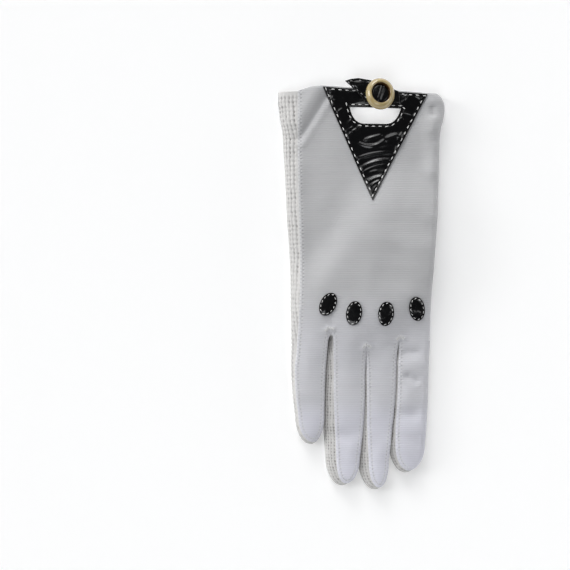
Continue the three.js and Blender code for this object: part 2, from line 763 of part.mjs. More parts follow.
addPiece('back_panel', backPanel(), RIBBED_CLOTH);
addPiece('palm_panel', palmPanel(), PLAIN_CLOTH);
addPiece('thumb', thumb(), PLAIN_CLOTH);
addPiece('side_strip', sideStrip(), EYELET_MESH);
addPiece('fourchette_little_ring', fourchette(0), EYELET_MESH);
addPiece('fourchette_ring_middle', fourchette(1), EYELET_MESH);
addPiece('fourchette_middle_index', fourchette(2), EYELET_MESH);
addPiece('index_side_strip', indexSideStrip(), EYELET_MESH);
addPiece('patent_yoke', patentYoke(), BLACK_PATENT);
addPiece('strap_tab', strapTab(), BLACK_PATENT);
addTurned('button_ring', turned(RING_SECTION), TAN_PLASTIC);
addTurned('button_centre', turned(CENTRE_SECTION), BLACK_PATENT);
OVALS.forEach((oval, i) => {
  const piece = asGeometry(trimPiece(ovalOutline(oval), yokeBottom, PATENT));
  addPiece(`knuckle_oval_${FINGERS[i].name}`, piece, BLACK_PATENT);
});

// The origin is the middle of the footprint, at the height of the surface that the glove lies on
glove.updateMatrixWorld(true);
const bounds = new THREE.Box3().setFromObject(glove);
const middle = bounds.getCenter(new THREE.Vector3());
glove.position.set(-middle.x, -middle.y, -bounds.min.z);

export default glove;
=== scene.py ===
"""Looks of a dress glove for the right hand, lying palm down with its thumb folded under the palm.

A ribbed cloth back, a plain palm and eyelet mesh side walls are sewn from sheets, with a patent
triangle, a strap end, a ringed button and four knuckle ovals on top. Tables are in millimetres.
"""

import math

import bpy
from mathutils import Matrix, Vector, kdtree, noise
from mathutils.bvhtree import BVHTree
from mathutils.geometry import delaunay_2d_cdt


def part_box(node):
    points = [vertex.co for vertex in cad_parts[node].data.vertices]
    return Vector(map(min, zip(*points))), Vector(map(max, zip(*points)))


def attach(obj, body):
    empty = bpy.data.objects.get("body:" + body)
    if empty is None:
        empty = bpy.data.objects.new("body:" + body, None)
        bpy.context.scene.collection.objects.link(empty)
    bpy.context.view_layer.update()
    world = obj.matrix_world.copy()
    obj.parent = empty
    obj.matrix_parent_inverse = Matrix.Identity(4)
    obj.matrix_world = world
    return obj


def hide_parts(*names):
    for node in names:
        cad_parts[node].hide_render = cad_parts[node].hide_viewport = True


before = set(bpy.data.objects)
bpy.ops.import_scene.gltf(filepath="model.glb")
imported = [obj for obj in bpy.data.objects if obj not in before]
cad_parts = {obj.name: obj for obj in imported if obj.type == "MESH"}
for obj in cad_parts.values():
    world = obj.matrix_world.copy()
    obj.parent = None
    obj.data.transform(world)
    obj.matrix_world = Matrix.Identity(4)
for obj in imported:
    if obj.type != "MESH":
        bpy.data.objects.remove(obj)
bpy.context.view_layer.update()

MM = 0.001

# Cloth, seams and hollows
CLOTH = 1.0
SEAM_GAP = 0.3
HAND_HOLLOW = 5.9
FINGER_HOLLOW = 5.4
TIP_HOLLOW = 3.6
HAND_CROWN = 1.2
FINGER_CROWN = 0.8
KNUCKLE_BLEND = 22
FOLD_ROUND = 3.5
FLANGE = 5.0

# How much of the back's cloth turns round the thumb side: down to the palm at the hand, and half way down at
# the index finger
WRAP = {"hand": 12, "index": 3}

# Trim: the patent lies on the cloth, and its top stands this high above it
PATENT = 0.9
TRIM_GAP = 0.6
TRIM_TOP = TRIM_GAP + PATENT

THUMB = {
    "root": Vector((24, 21)), "tip": Vector((-10.2, -12.3)),
    "root_radius": 17.5, "tip_radius": 11.5,
    "root_height": 6.4, "tip_height": 4.8, "edge_round": 2.2,
}
THUMB_AXIS = THUMB["tip"] - THUMB["root"]
THUMB_TURN = math.atan2(THUMB_AXIS.y, THUMB_AXIS.x)
THUMB_HOLE = {"centre": Vector((25, 22)), "long": 12, "wide": 9}
THUMB_CLEARANCE = 0.7
DRAPE_START = 2.5
PALM_DRAPE = 16
BACK_DRAPE = 30
DRAPE_SPREAD = 0.25


def table(names, rows):
    """A list of rows with named columns."""
    return [dict(zip(names.split(), row)) for row in rows]


# Sections of the hand from the cuff to the finger roots
HAND = table("y outer seam fold", [
    (112, -48.9, -37.0, 44.6),
    (109, -49.0, -37.0, 47.4),
    (106, -49.0, -37.0, 49.0),
    (101.5, -48.4, -37.0, 49.4),
    (96, -47.7, -37.0, 48.5),
    (90, -46.5, -37.0, 46.9),
    (78, -45.7, -37.0, 46.3),
    (60, -44.6, -36.7, 45.8),
    (37, -43.5, -36.2, 44.5),
    (14, -41.9, -35.6, 42.8),
    (-10, -41.2, -36.0, 41.4),
    (-33, -40.6, -36.9, 40.8),
])
CUFF = table("x y", [
    (-48.5, 112.0),
    (-37.0, 112.8),
    (-30.0, 115.0),
    (-22.8, 115.7),
    (38.9, 111.4),
    (48.5, 110.2),
])
CROTCHES = table("x y", [(-17.8, -29.3), (2.8, -40.0), (22.1, -33.6)])
ROOT_Y = {"little": -29.3, "index": -33.0}
PALM_CROTCH_SHIFT = -2.5

# Edges of each finger's back and palm strip, from its root to where its end is rounded
STRIP = "y back_left back_right palm_left palm_right"
FINGERS = [
    {"name": "little", "tip": (-28.3, -92.8), "palm_tip": -30.2, "rows": table(STRIP, [
        (-29.3, -36.9, -17.8, -40.5, -20.3),
        (-30.3, -37.0, -18.9, -40.5, -20.7),
        (-32.5, -37.2, -19.7, -40.4, -21.8),
        (-40, -37.6, -20.4, -40.2, -23.6),
        (-50, -38.7, -21.2, -39.7, -25.0),
        (-66, -38.0, -21.8, -38.5, -25.6),
        (-78, -36.6, -22.0, -37.2, -25.4),
    ])},
    {"name": "ring", "tip": (-9.2, -117.2), "palm_tip": -13.0, "rows": table(STRIP, [
        (-29.3, -17.8, 2.8, -20.3, 0.3),
        (-30.3, -16.8, 2.8, -20.4, 0.3),
        (-32.5, -16.3, 2.8, -20.5, 0.3),
        (-40, -16.1, 2.8, -20.7, 0.3),
        (-50, -15.9, 2.1, -21.0, -2.2),
        (-67, -15.8, 1.8, -21.6, -2.8),
        (-84, -15.1, 0.9, -22.0, -4.0),
        (-103, -14.3, -1.3, -20.9, -6.4),
    ])},
    {"name": "middle", "tip": (10.6, -119.6), "palm_tip": 6.4, "rows": table(STRIP, [
        (-32.8, 2.8, 22.1, 0.3, 19.6),
        (-40, 2.8, 20.8, 0.3, 17.8),
        (-50, 3.4, 20.3, 0.2, 17.0),
        (-67, 3.7, 19.6, 0.0, 16.4),
        (-84, 3.8, 17.9, -0.4, 14.8),
        (-105, 4.7, 15.8, -1.4, 12.0),
    ])},
    {"name": "index", "tip": (28.2, -109.6), "palm_tip": 25.2, "rows": table(STRIP, [
        (-32.8, 22.1, 40.8, 19.6, 35.5),
        (-40, 22.2, 40.3, 20.0, 35.4),
        (-50, 21.9, 39.8, 19.7, 35.2),
        (-67, 21.5, 39.4, 19.4, 34.8),
        (-84, 20.5, 38.5, 18.1, 33.9),
        (-95, 20.3, 37.6, 17.3, 32.8),
    ])},
]

# Folds and dents of the back, each a ridge or trough along a line
FOLDS = table("x0 y0 x1 y1 width height", [
    (-17.6, 107.7, -34.3, 80.9, 1.6, 0.65),
    (-20.6, 109.6, -36.0, 85.0, 2.1, -1.25),
    (-26.4, 113.2, -38.0, 94.6, 4.0, 1.5),
    (42.6, 105.5, 42.6, 92, 5.2, 1.7),
    (41.6, 94, 41.4, 66, 4.8, 2.0),
    (42.6, 68, 41.5, 40, 5.4, 0.9),
    (41.6, 102.6, 41.9, 99.0, 2.0, -1.7),
    (41.4, 86, 42.2, 83.5, 2.2, -0.7),
    (-38.5, 66, -39, -14, 7.0, 1.6),
    (-15, 58, -24, 38, 9.0, 0.9),
    (10, 27, 36, 20, 6.5, 1.0),
    (14, 4, 36, 0, 7.0, -0.9),
    (-26, 38, -6, 10, 6.0, -0.2),
    (-6, 44, 26, 40, 7.0, 0.1),
    (24, 40, 30, 70, 5.0, -0.35),
    (11, -35.5, 22.5, -27, 3.0, 0.5),
    (27.4, -40.4, 31.0, -40.8, 3.9, -1.9),
    (27.6, -54.4, 31.8, -56.6, 2.7, -1.7),
    (25.0, -48, 34.0, -48.5, 3.6, 0.35),
    (26.4, -76.6, 29.2, -77.0, 4.8, -1.7),
    (25.0, -67, 34.0, -67.5, 4.2, 0.3),
    (27, -91.5, 31, -92.5, 3.4, -0.35),
    (-11.2, -88.6, -8.8, -89.6, 4.4, -1.7),
    (-6.4, -97, -6.8, -101, 3.2, 0.4),
    (-8.5, -62, -5, -62.5, 3.4, -0.5),
    (-31.2, -70, -29, -71.5, 3.4, -0.35),
    (10, -82, 13, -87, 3.6, -0.6),
])

# Puffs of cloth where each dart between two fingers ends, drawn up by a fan of stitches
DARTS = table("x0 y0 x1 y1 x2 y2", [
    (-21.3, -27.6, -19.4, -25.6, -16.4, -26.6),
    (0.9, -37.6, 2.6, -35.6, 5.4, -37.4),
    (20.7, -33.0, 22.5, -30.9, 24.9, -32.3),
])
DART = {"width": 1.4, "height": 0.9, "stitches": 8, "free": 3.4}

# Sewn edges: the cloth rolls down at its edge, with a row of stitches in a groove inside it
HEM = {"roll": 1.2, "drop": 0.7, "groove": 1.6, "groove_width": 0.6, "groove_depth": 0.12}
NEEDLE = {"pitch": 2.1, "seam": 0.4, "topstitch": HEM["groove"], "long": 0.4, "wide": 0.34, "puff": 0.8}
CUFF_HEM = {"roll": 1.2, "drop": 0.45}
UNDULATION = table("wide long hand fingers", [(15, 22, 0.42, 0.45), (7, 10, 0.16, 0.36)])

# Patent triangle, keyhole, strap end, button and ovals
YOKE = [(-22.8, 115.2), (6.1, 48.3), (38.7, 110.9)]
KEYHOLE = {
    "top_left": (-7.0, 103.3), "left_bend": (-5.4, 94.5), "bottom_left": (0.6, 93.5),
    "bottom_right": (14.6, 93.3), "right_bend": (20.6, 93.7), "top_right": (23.0, 102.4),
}
STRAP_END = [
    (-9.8, 118.1), (-6.4, 119.2), (-2.2, 119.8), (4.7, 118.6), (13.7, 115.6),
    (21.5, 112.0), (22.5, 105.2), (2.2, 105.0), (-0.6, 109.4), (-5.4, 114.2),
]
STRAP_CURL = {"from": 2, "length": 12, "rise": 1.2}
STRAP_LEVEL_Y = 112
BUTTON = {"x": 11.2, "y": 111.1, "creased": (4.2, 5.0), "inside": (5.7, 6.15)}
OVALS = table("x y turn", [
    (-19.8, -12.1, -27),
    (-4.7, -17.3, -9),
    (13.9, -17.7, -5),
    (32.2, -14.9, 10),
])
OVAL = {"wide": 4.7, "high": 7.15, "cloth": 0.65, "puff": 0.35, "dip": 0.12, "dip_at": 0.2, "dip_width": 0.06}
OVAL_INSETS = (0.05, 0.06, 0.07, 0.08, 0.09, 0.1, 0.11, 0.11, 0.11, 0.1)
OVAL_SIDES = 48

# Sections of the button: radius and height above its seat, and the way it leans
RING_SECTION = [
    (5.3, -0.2), (7.4, -0.2), (8.6, 0.35), (9.05, 1.2), (9.0, 2.1), (8.55, 3.2), (7.8, 4.2), (7.0, 4.8),
    (6.4, 5.0), (5.95, 4.85), (5.65, 4.5), (5.45, 3.9), (5.35, 3.0), (5.3, -0.2),
]
CENTRE_SECTION = [
    (5.15, 0), (5.15, 2.6), (5.0, 3.0), (4.6, 3.22), (3.6, 3.32), (2.4, 3.37), (1.1, 3.4), (0.4, 3.4),
]
BUTTON_SIDES = 96
LEAN = {
    "angle": math.radians(11), "towards": Vector((0.6, 0.8, 0)),
    "slide": Vector((-0.85, -1.1, 0)), "stretch": Vector((0.95, 1.048, 1, 1)),
}

# Creases of the patent, each a narrow ridge. On the triangle they bow to one side. On the button and the
# ovals they are placed from the middle, and those of the button grow weaker along their way
CREASES = table("x0 y0 x1 y1 bow width height", [
    (-3.4, 72.6, 20.4, 76.2, 1.6, 1.1, 0.7),
    (-1.6, 66.4, 18.0, 71.8, 2.0, 0.95, 0.85),
    (0.2, 64.6, 14.8, 69.4, 1.2, 0.65, 0.32),
    (2.6, 62.6, 9.4, 65.6, 1.0, 0.7, 0.12),
    (2.8, 57.9, 12.6, 62.2, 1.4, 0.85, 0.65),
    (4.4, 55.6, 10.8, 60.0, 0.8, 0.6, 0.4),
    (-3.0, 78.6, 20.0, 79.8, -0.8, 1.9, 0.5),
    (-1.8, 82.2, 13.8, 84.1, -2.8, 1.05, 0.75),
    (1.0, 83.4, 12.2, 86.8, 0.3, 0.95, 0.65),
    (13.6, 83.6, 24.0, 86.2, 1.0, 1.7, 0.8),
    (-9.6, 84.1, -3.6, 90.2, 0.5, 0.8, 0.5),
    (-9.4, 88.2, -4.6, 91.6, 0.3, 0.7, 0.45),
    (-6.0, 88.4, -0.4, 93.2, -0.6, 0.9, 0.5),
    (-8.4, 92.7, -4.7, 96.3, 0.4, 0.8, 0.3),
    (-14.6, 98.8, -10.7, 102.4, 0.4, 0.8, 0.3),
    (-20.4, 110.8, -12.8, 115.0, 0.6, 1.1, 0.3),
    (19.2, 94.6, 24.7, 96.4, 0.6, 0.8, 0.35),
    (20.8, 84.4, 24.2, 88.8, -0.4, 0.8, 0.35),
    (22.0, 105.0, 22.6, 112.4, -1.1, 0.75, 0.5),
    (24.4, 106.8, 28.4, 111.4, 0.6, 0.8, 0.65),
    (28.2, 111.0, 34.6, 108.0, 0.8, 0.75, 0.6),
    (22.5, 100.5, 30.5, 98.5, 0.4, 0.9, 0.35),
    (-3.5, 105.5, 3.0, 106.5, 0.5, 0.9, 0.3),
    (-6.2, 114.0, 2.0, 117.0, 0.8, 1.2, 0.3),
])
# Short straight pieces in the bow of a crease, and the distance from its middle where nothing of it is left
CREASE_PARTS = 10
CREASE_REACH = 16
BUTTON_CREASES = table("x0 y0 x1 y1 width height", [
    (1.9, 3.6, -0.8, -3.0, 0.95, 0.84),
    (2.2, 3.8, 1.7, 4.0, 0.7, 0.5),
    (-3.6, 1.6, -2.6, -1.4, 0.9, -0.12),
])
OVAL_CREASES = table("finger x0 y0 x1 y1 width height", [
    ("little", -1.8, -3.4, 0.4, -2.0, 0.9, 0.35),
    ("ring", -1.2, 2.6, 1.0, 3.4, 0.9, 0.2),
    ("middle", -2.2, -2.6, 1.9, 0.6, 0.75, 0.5),
    ("middle", -1.4, 2.6, 1.4, 4.0, 0.8, 0.2),
    ("index", -2.2, -2.0, 1.6, -2.5, 0.8, 0.45),
])

# Patches of patent: the rounding of their edges, the rim within which creases begin, and the groove along
# which they are sewn on
PATCH = {
    "grid": 0.42, "rounding": 0.4, "rim": (0.3, 2.0), "wrinkle": 0.3,
    "groove": 1.3, "groove_width": 0.45, "groove_depth": 0.2,
}

# Stitches: length, width and height of each kind, and the rows along which the patent is sewn
STITCHES = {
    "seam": (1.2, 0.36, 0.3), "dart": (2.1, 0.62, 0.6), "bold": (2.1, 0.58, 0.5),
    "small": (1.5, 0.34, 0.4), "oval": (1.5, 0.38, 0.4),
}
PITCH = {"triangle": 4.2, "keyhole": 4.0, "strap": 3.4, "strap_edge": 5.2, "oval": 2.75}
INSET = {"triangle": 1.25, "keyhole": -1.5, "oval": 0.95}
STRAP_ROWS = {
    "strap": [(-7.6, 117.0), (-4.9, 114.9), (-1.2, 111.5), (2.3, 108.4)],
    "strap_edge": [(-6.2, 118.0), (-1.8, 118.5), (4.0, 117.4)],
}
# A stitch is left out where the cloth is so steep that its normal's vertical part is below this
LEAST_LEVEL = 0.3

# Eyelet mesh: rows of small eyelets between soft ribs, coarse on the side strip and fine between the fingers.
# The eyelets and the channels between the ribs are painted dark, as painted shade, by the shade and groove
# columns
MESHES = table("name along across pit rib shade groove step hem", [
    ("coarse", 2.7, 2.4, 0.3, 0.5, 0.36, 0.95, 0.36, 2.2),
    ("fine", 1.8, 1.7, 0.38, 0.26, 0.8, 0.45, 0.28, 0),
])
COARSE_MESH, FINE_MESH = MESHES
EYELET = {
    "long": 0.055, "wide": 0.045, "channel": 0.025, "uneven": 1.1,
    "wander_along": 0.08, "wander_across": 0.06,
}
MESH_CLOTH = 0.8
BULGE = {"height": 1.9, "crotch_free": (2, 13)}

# Thickness of the two patent pieces
YOKE_CLOTH = 0.6
STRAP_CLOTH = 1.8
# Painted light: a glow on the palm's inner side under the keyhole stands in for the light that falls through
# it. How much wider than high it is, and where it fades out
PAINTED_GLOW = {"wide": 1.6, "fade": (7, 14)}
# What a point reads as its place along a seam and its distance from it where no needle holes are wanted
FAR_FROM_SEAMS = (0, 50, 0)

# Fineness of the meshes, and of the points along a sewn edge
PATH_STEP = 0.25
HAND_ROWS = 200
CUFF_CROWDING = 1.5
FINGER_ROWS = 112
TIP_ROWS = 22
TIP_LAST_ANGLE = 88
HALF_ACROSS = [0, 0.018, 0.036, 0.054, 0.072, 0.09, 0.11, 0.14, 0.19, 0.26, 0.34, 0.42, 0.5]
ACROSS = HALF_ACROSS + [1 - share for share in reversed(HALF_ACROSS[:-1])]
FOLD_STEPS = 9
FOLD_SMOOTHING = 4
# The columns before the fold on the thumb side that are smoothed with it
FOLD_APPROACH = 6


# The button tells how far the tables' origin lies from the frame's
ring_low, ring_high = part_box("button_ring")
ORIGIN = Vector((
    (ring_low.x + ring_high.x) / 2 - BUTTON["x"] * MM,
    (ring_low.y + ring_high.y) / 2 - BUTTON["y"] * MM,
    0,
))


def clamp(value, low=0.0, high=1.0):
    return max(low, min(high, value))


def mix(a, b, share):
    return a + (b - a) * share


def ease(value, low, high):
    share = clamp((value - low) / (high - low))
    return share * share * (3 - 2 * share)


def soft_ease(value, low, high):
    """An ease without a visible start or end."""
    share = clamp((value - low) / (high - low))
    return share ** 3 * (share * (6 * share - 15) + 10)


def bell(away, width):
    """The section of a ridge: 1 on its line, and next to nothing two widths away."""
    return math.exp(-((away / width) ** 2))


def smooth_column(rows, name):
    """A smooth curve through one column of a table whose rows go down in y."""
    last = len(rows) - 1

    def slope(i):
        before, after = rows[max(i - 1, 0)], rows[min(i + 1, last)]
        return (after[name] - before[name]) / (after["y"] - before["y"])

    def read(y):
        i = 0
        while i < last - 1 and y < rows[i + 1]["y"]:
            i += 1
        a, b = rows[i], rows[i + 1]
        span = b["y"] - a["y"]
        s = clamp((y - a["y"]) / span)
        lead = slope(i) * span * s * (1 - s) ** 2
        trail = slope(i + 1) * span * s * s * (s - 1)
        return mix(a[name], b[name], s * s * (3 - 2 * s)) + lead + trail

    return read


def straight_column(rows, name, key):
    """Straight lines through one column of a table whose rows go up in its key column."""
    def read(at):
        i = 0
        while i < len(rows) - 2 and at > rows[i + 1][key]:
            i += 1
        a, b = rows[i], rows[i + 1]
        return mix(a[name], b[name], clamp((at - a[key]) / (b[key] - a[key])))

    return read


outer_edge = smooth_column(HAND, "outer")
seam_edge = smooth_column(HAND, "seam")
fold_edge = smooth_column(HAND, "fold")
cuff_edge = straight_column(CUFF, "y", "x")


def resampled(path, step, closed=False):
    """Points along a path at an even distance."""
    points = [Vector(p) for p in path]
    if closed:
        points.append(points[0].copy())
    lengths = [0.0]
    for a, b in zip(points, points[1:]):
        lengths.append(lengths[-1] + (b - a).length)
    count = max(2, round(lengths[-1] / step))
    result, i = [], 0
    for k in range(count if closed else count + 1):
        at = lengths[-1] * k / count
        while i < len(points) - 2 and lengths[i + 1] < at:
            i += 1
        span = lengths[i + 1] - lengths[i]
        result.append(points[i].lerp(points[i + 1], clamp((at - lengths[i]) / span if span else 0)))
    return result


# Surfaces of the lying glove

def thumb_place(x, y):
    """How far along the thumb a place lies, and how far outside its outline."""
    reach = Vector((x, y)) - THUMB["root"]
    along = clamp(reach.dot(THUMB_AXIS) / THUMB_AXIS.length_squared)
    radius = mix(THUMB["root_radius"], THUMB["tip_radius"], along)
    return along, (reach - THUMB_AXIS * along).length - radius


def thumb_height(along):
    return mix(THUMB["root_height"], THUMB["tip_height"], along)


def lift(x, y, drape):
    """The cloth above the thumb is lifted by it and falls away around it."""
    along, outside = thumb_place(x, y)
    wide = drape + DRAPE_SPREAD * max(y - THUMB["root"].y, 0)
    return (thumb_height(along) + THUMB_CLEARANCE) * (1 - soft_ease(outside, DRAPE_START - 2, wide))


def palm_bottom(x, y):
    return lift(x, y, PALM_DRAPE)


def segment_distance(x, y, x0, y0, x1, y1):
    """Distance of a place from a straight line between two points."""
    dx, dy = x1 - x0, y1 - y0
    along = clamp(((x - x0) * dx + (y - y0) * dy) / (dx * dx + dy * dy))
    return math.hypot(x - x0 - along * dx, y - y0 - along * dy)


def row_distance(x, y, row):
    """Distance of a place from the line in a row of a table."""
    return segment_distance(x, y, row["x0"], row["y0"], row["x1"], row["y1"])


def fold_relief(x, y):
    """Height of the back's folds, dents, puffs and soft unevenness."""
    total = 0
    for fold in FOLDS:
        total += fold["height"] * bell(row_distance(x, y, fold), fold["width"])
    for dart in DARTS:
        second = segment_distance(x, y, dart["x1"], dart["y1"], dart["x2"], dart["y2"])
        away = min(row_distance(x, y, dart), second)
        total += DART["height"] * bell(away, DART["width"])
    for wave in UNDULATION:
        height = mix(wave["hand"], wave["fingers"], ease(-y, 15, 45))
        total += height * noise.noise(Vector((x / wave["wide"], y / wave["long"], 0)))
    return total


def arch(share):
    return 1 - (2 * share - 1) ** 2


def crown(share):
    """A crown that starts level at both its sides."""
    return arch(share) ** 1.6


root_line = [
    {"x": seam_edge(ROOT_Y["little"]), "y": ROOT_Y["little"]},
    *CROTCHES,
    {"x": fold_edge(ROOT_Y["index"]) - FOLD_ROUND, "y": ROOT_Y["index"]},
]
root_width = root_line[4]["x"] - root_line[0]["x"]
root_shares = [
    {"share": (root["x"] - root_line[0]["x"]) / root_width, "y": root["y"]} for root in root_line
]
root_edge = straight_column(root_shares, "y", "share")


def hollow_at(share, y):
    """Height of the hollow under the back: one crown over the hand, one over each finger's root."""
    finger = max(i for i in range(4) if i == 0 or root_shares[i]["share"] <= share)
    a, b = root_shares[finger]["share"], root_shares[finger + 1]["share"]
    finger_height = FINGER_HOLLOW + FINGER_CROWN * crown(clamp((share - a) / (b - a)))
    knuckle = 1 - ease(y - root_edge(share), 0, KNUCKLE_BLEND)
    return mix(HAND_HOLLOW + HAND_CROWN * arch(share), finger_height, knuckle)


def back_top(x, y):
    seam, fold = seam_edge(y), fold_edge(y) - FOLD_ROUND
    share = clamp((x - seam) / (fold - seam))
    return 2 * CLOTH + hollow_at(share, y) + lift(x, y, BACK_DRAPE) + fold_relief(x, y)


def finger_back_top(x, y, narrow, across):
    hollow = mix(TIP_HOLLOW, FINGER_HOLLOW, narrow) + FINGER_CROWN * crown(across) * narrow
    return 2 * CLOTH + hollow + lift(x, y, BACK_DRAPE) + fold_relief(x, y)


# Strips of the fingers and the sewn outlines of the two panels

def finger_rows(finger, side, roots):
    """Left and right ends of a finger's rows, and how far its end's rounding has come."""
    left = smooth_column(finger["rows"], side + "_left")
    right = smooth_column(finger["rows"], side + "_right")
    end_y = finger["rows"][-1]["y"]
    tip_x = finger["tip"][0] if side == "back" else finger["palm_tip"]
    rows = []
    for i in range(FINGER_ROWS + 1):
        left_y, right_y = (mix(root["y"], end_y, i / FINGER_ROWS) for root in roots)
        rows.append({"left": (left(left_y), left_y), "right": (right(right_y), right_y), "narrow": 1})
    rows[0]["left"] = (roots[0]["x"], roots[0]["y"])
    rows[0]["right"] = (roots[1]["x"], roots[1]["y"])
    for i in range(1, TIP_ROWS + 1):
        angle = math.radians(TIP_LAST_ANGLE * i / TIP_ROWS)
        narrow, y = math.cos(angle), mix(end_y, finger["tip"][1], math.sin(angle))
        ends = [(mix(tip_x, x, narrow), y) for x in (left(end_y), right(end_y))]
        rows.append({"left": ends[0], "right": ends[1], "narrow": narrow})
    return rows


def finger_roots(index, side):
    """Roots of a finger: the crotches, or the hand's edges."""
    shift = 0 if side == "back" else PALM_CROTCH_SHIFT
    rows = FINGERS[index]["rows"]
    crotches = [{"x": crotch["x"] + shift, "y": crotch["y"]} for crotch in CROTCHES]
    left = {"x": rows[0][side + "_left"], "y": ROOT_Y["little"]} if index == 0 else crotches[index - 1]
    right = {"x": rows[0][side + "_right"], "y": ROOT_Y["index"]} if index == 3 else crotches[index]
    return left, right


strips = {
    side: [finger_rows(finger, side, finger_roots(i, side)) for i, finger in enumerate(FINGERS)]
    for side in ("back", "palm")
}


def sewn_outline(side):
    """The sewn edge of a panel: down the little finger side, then round each finger in turn."""
    edge = seam_edge if side == "back" else outer_edge
    top = cuff_edge(edge(HAND[0]["y"]))
    path = [(edge(y), y) for y in (mix(top, ROOT_Y["little"], i / HAND_ROWS) for i in range(HAND_ROWS))]
    for i, rows in enumerate(strips[side]):
        path += [row["left"] for row in rows]
        if i < 3 or side == "palm":
            path += [row["right"] for row in reversed(rows)]
    return path


outlines = {side: sewn_outline(side) for side in ("back", "palm")}


def tree_of(points):
    """Finds the nearest of some places in the plane."""
    tree = kdtree.KDTree(len(points))
    for i, point in enumerate(points):
        tree.insert(point.to_3d(), i)
    tree.balance()
    return tree


def nearest_on(path):
    """Reads how far along a path the nearest place on it lies, and how far away that is."""
    tree = tree_of(resampled(path, PATH_STEP))

    def read(x, y):
        _, i, away = tree.find((x, y, 0))
        return i * PATH_STEP, away

    return read


seam_place = {side: nearest_on(outlines[side]) for side in ("back", "palm")}


def hem(side, x, y):
    """Height of a panel near its sewn edge: the cloth rolls down, and the stitches pull a groove into it."""
    _, distance = seam_place[side](x, y)
    rolled = -HEM["drop"] * clamp(1 - distance / HEM["roll"]) ** 2
    groove = -HEM["groove_depth"] * bell(distance - HEM["groove"], HEM["groove_width"])
    return rolled + groove


# Making meshes

def place(point):
    """A point of the tables, in the frame's metres."""
    return Vector((point[0], point[1], point[2])) * MM + ORIGIN


def add_object(name, data):
    obj = bpy.data.objects.new(name, data)
    bpy.context.scene.collection.objects.link(obj)
    return obj


def new_object(name, points, faces):
    """A mesh of points given in the tables' millimetres."""
    mesh = bpy.data.meshes.new(name)
    mesh.from_pydata([place(point) for point in points], [], faces)
    mesh.validate()
    return add_object(name, mesh)


def deselect_all():
    for other in bpy.context.selected_objects:
        other.select_set(False)


def select_only(obj):
    deselect_all()
    obj.select_set(True)
    bpy.context.view_layer.objects.active = obj


def apply_modifier(obj, kind, **settings):
    """Adds a modifier with its settings and applies it."""
    modifier = obj.modifiers.new(kind.title(), kind)
    for name, value in settings.items():
        setattr(modifier, name, value)
    select_only(obj)
    bpy.ops.object.modifier_apply(modifier=modifier.name)


def face_up(obj):
    """Turns all the faces over if the first of them faces down."""
    if obj.data.polygons[0].normal.z < 0:
        obj.data.flip_normals()


def thicken(obj, thickness, offset=0):
    apply_modifier(obj, "SOLIDIFY", thickness=thickness * MM, offset=offset, use_quality_normals=True)


def round_edges(obj, width, segments=2, angle=50):
    apply_modifier(obj, "BEVEL", width=width * MM, segments=segments, limit_method="ANGLE",
                   angle_limit=math.radians(angle), harden_normals=False)


def smooth_shade(obj):
    for polygon in obj.data.polygons:
        polygon.use_smooth = True


def outline_area(outline):
    return abs(sum(a[0] * b[1] - b[0] * a[1] for a, b in zip(outline, [*outline[1:], outline[0]]))) / 2


def cut_area(outline, windows=(), turned_in=0):
    """Flat area of a cut piece in square metres: its outline, less windows, plus what turns round an edge."""
    return (outline_area(outline) - sum(outline_area(window) for window in windows) + turned_in) * MM * MM


# The least width a mesh wall's flat size is given, in metres. A sheet can't be declared narrower than this,
# in metres. The area of a narrower one says what it really is
LEAST_WIDTH = 0.01


def wall_cut(path):
    """Flat size and area of a mesh wall between its two seams, in metres."""
    heights = [(high - low).length for low, high in path]
    middles = [(low + high) / 2 for low, high in path]
    steps = [(b - a).length for a, b in zip(middles, middles[1:])]
    area = sum(step * (a + b) / 2 for step, a, b in zip(steps, heights, heights[1:]))
    return (max(LEAST_WIDTH, round(max(heights) * MM, 3)), round(sum(steps) * MM, 3)), area * MM * MM


def finish(obj, material, slot, *nodes):
    """Gives a finished piece its material, smooth shading and its place under the root, and hides the solids
    it stands for.
    """
    obj.data.materials.clear()
    obj.data.materials.append(material)
    smooth_shade(obj)
    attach(obj, "root")
    if nodes:
        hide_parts(*nodes)
    return obj


def add_attribute(obj, name, kind, read):
    """Keeps a number or a vector at each point, read from its place in the tables."""
    attribute = obj.data.attributes.new(name, kind, "POINT")
    values = []
    for v in obj.data.vertices:
        at = (v.co - ORIGIN) / MM
        value = read(at.x, at.y, at.z)
        values += value if kind == "FLOAT_VECTOR" else [value]
    attribute.data.foreach_set("vector" if kind == "FLOAT_VECTOR" else "value", values)


def surface_of(obj):
    """Reads the upper surface of a piece: the place and the normal under a point."""
    tree = BVHTree.FromObject(obj, bpy.context.evaluated_depsgraph_get())

    def read(x, y, side=1):
        start = place((x, y, 60 * side))
        hit, normal, _, _ = tree.ray_cast(start, Vector((0, 0, -side)))
        return (hit, normal) if hit else (None, None)

    return read


# The two panels are combs: rows over the hand, then a strip of rows for each finger

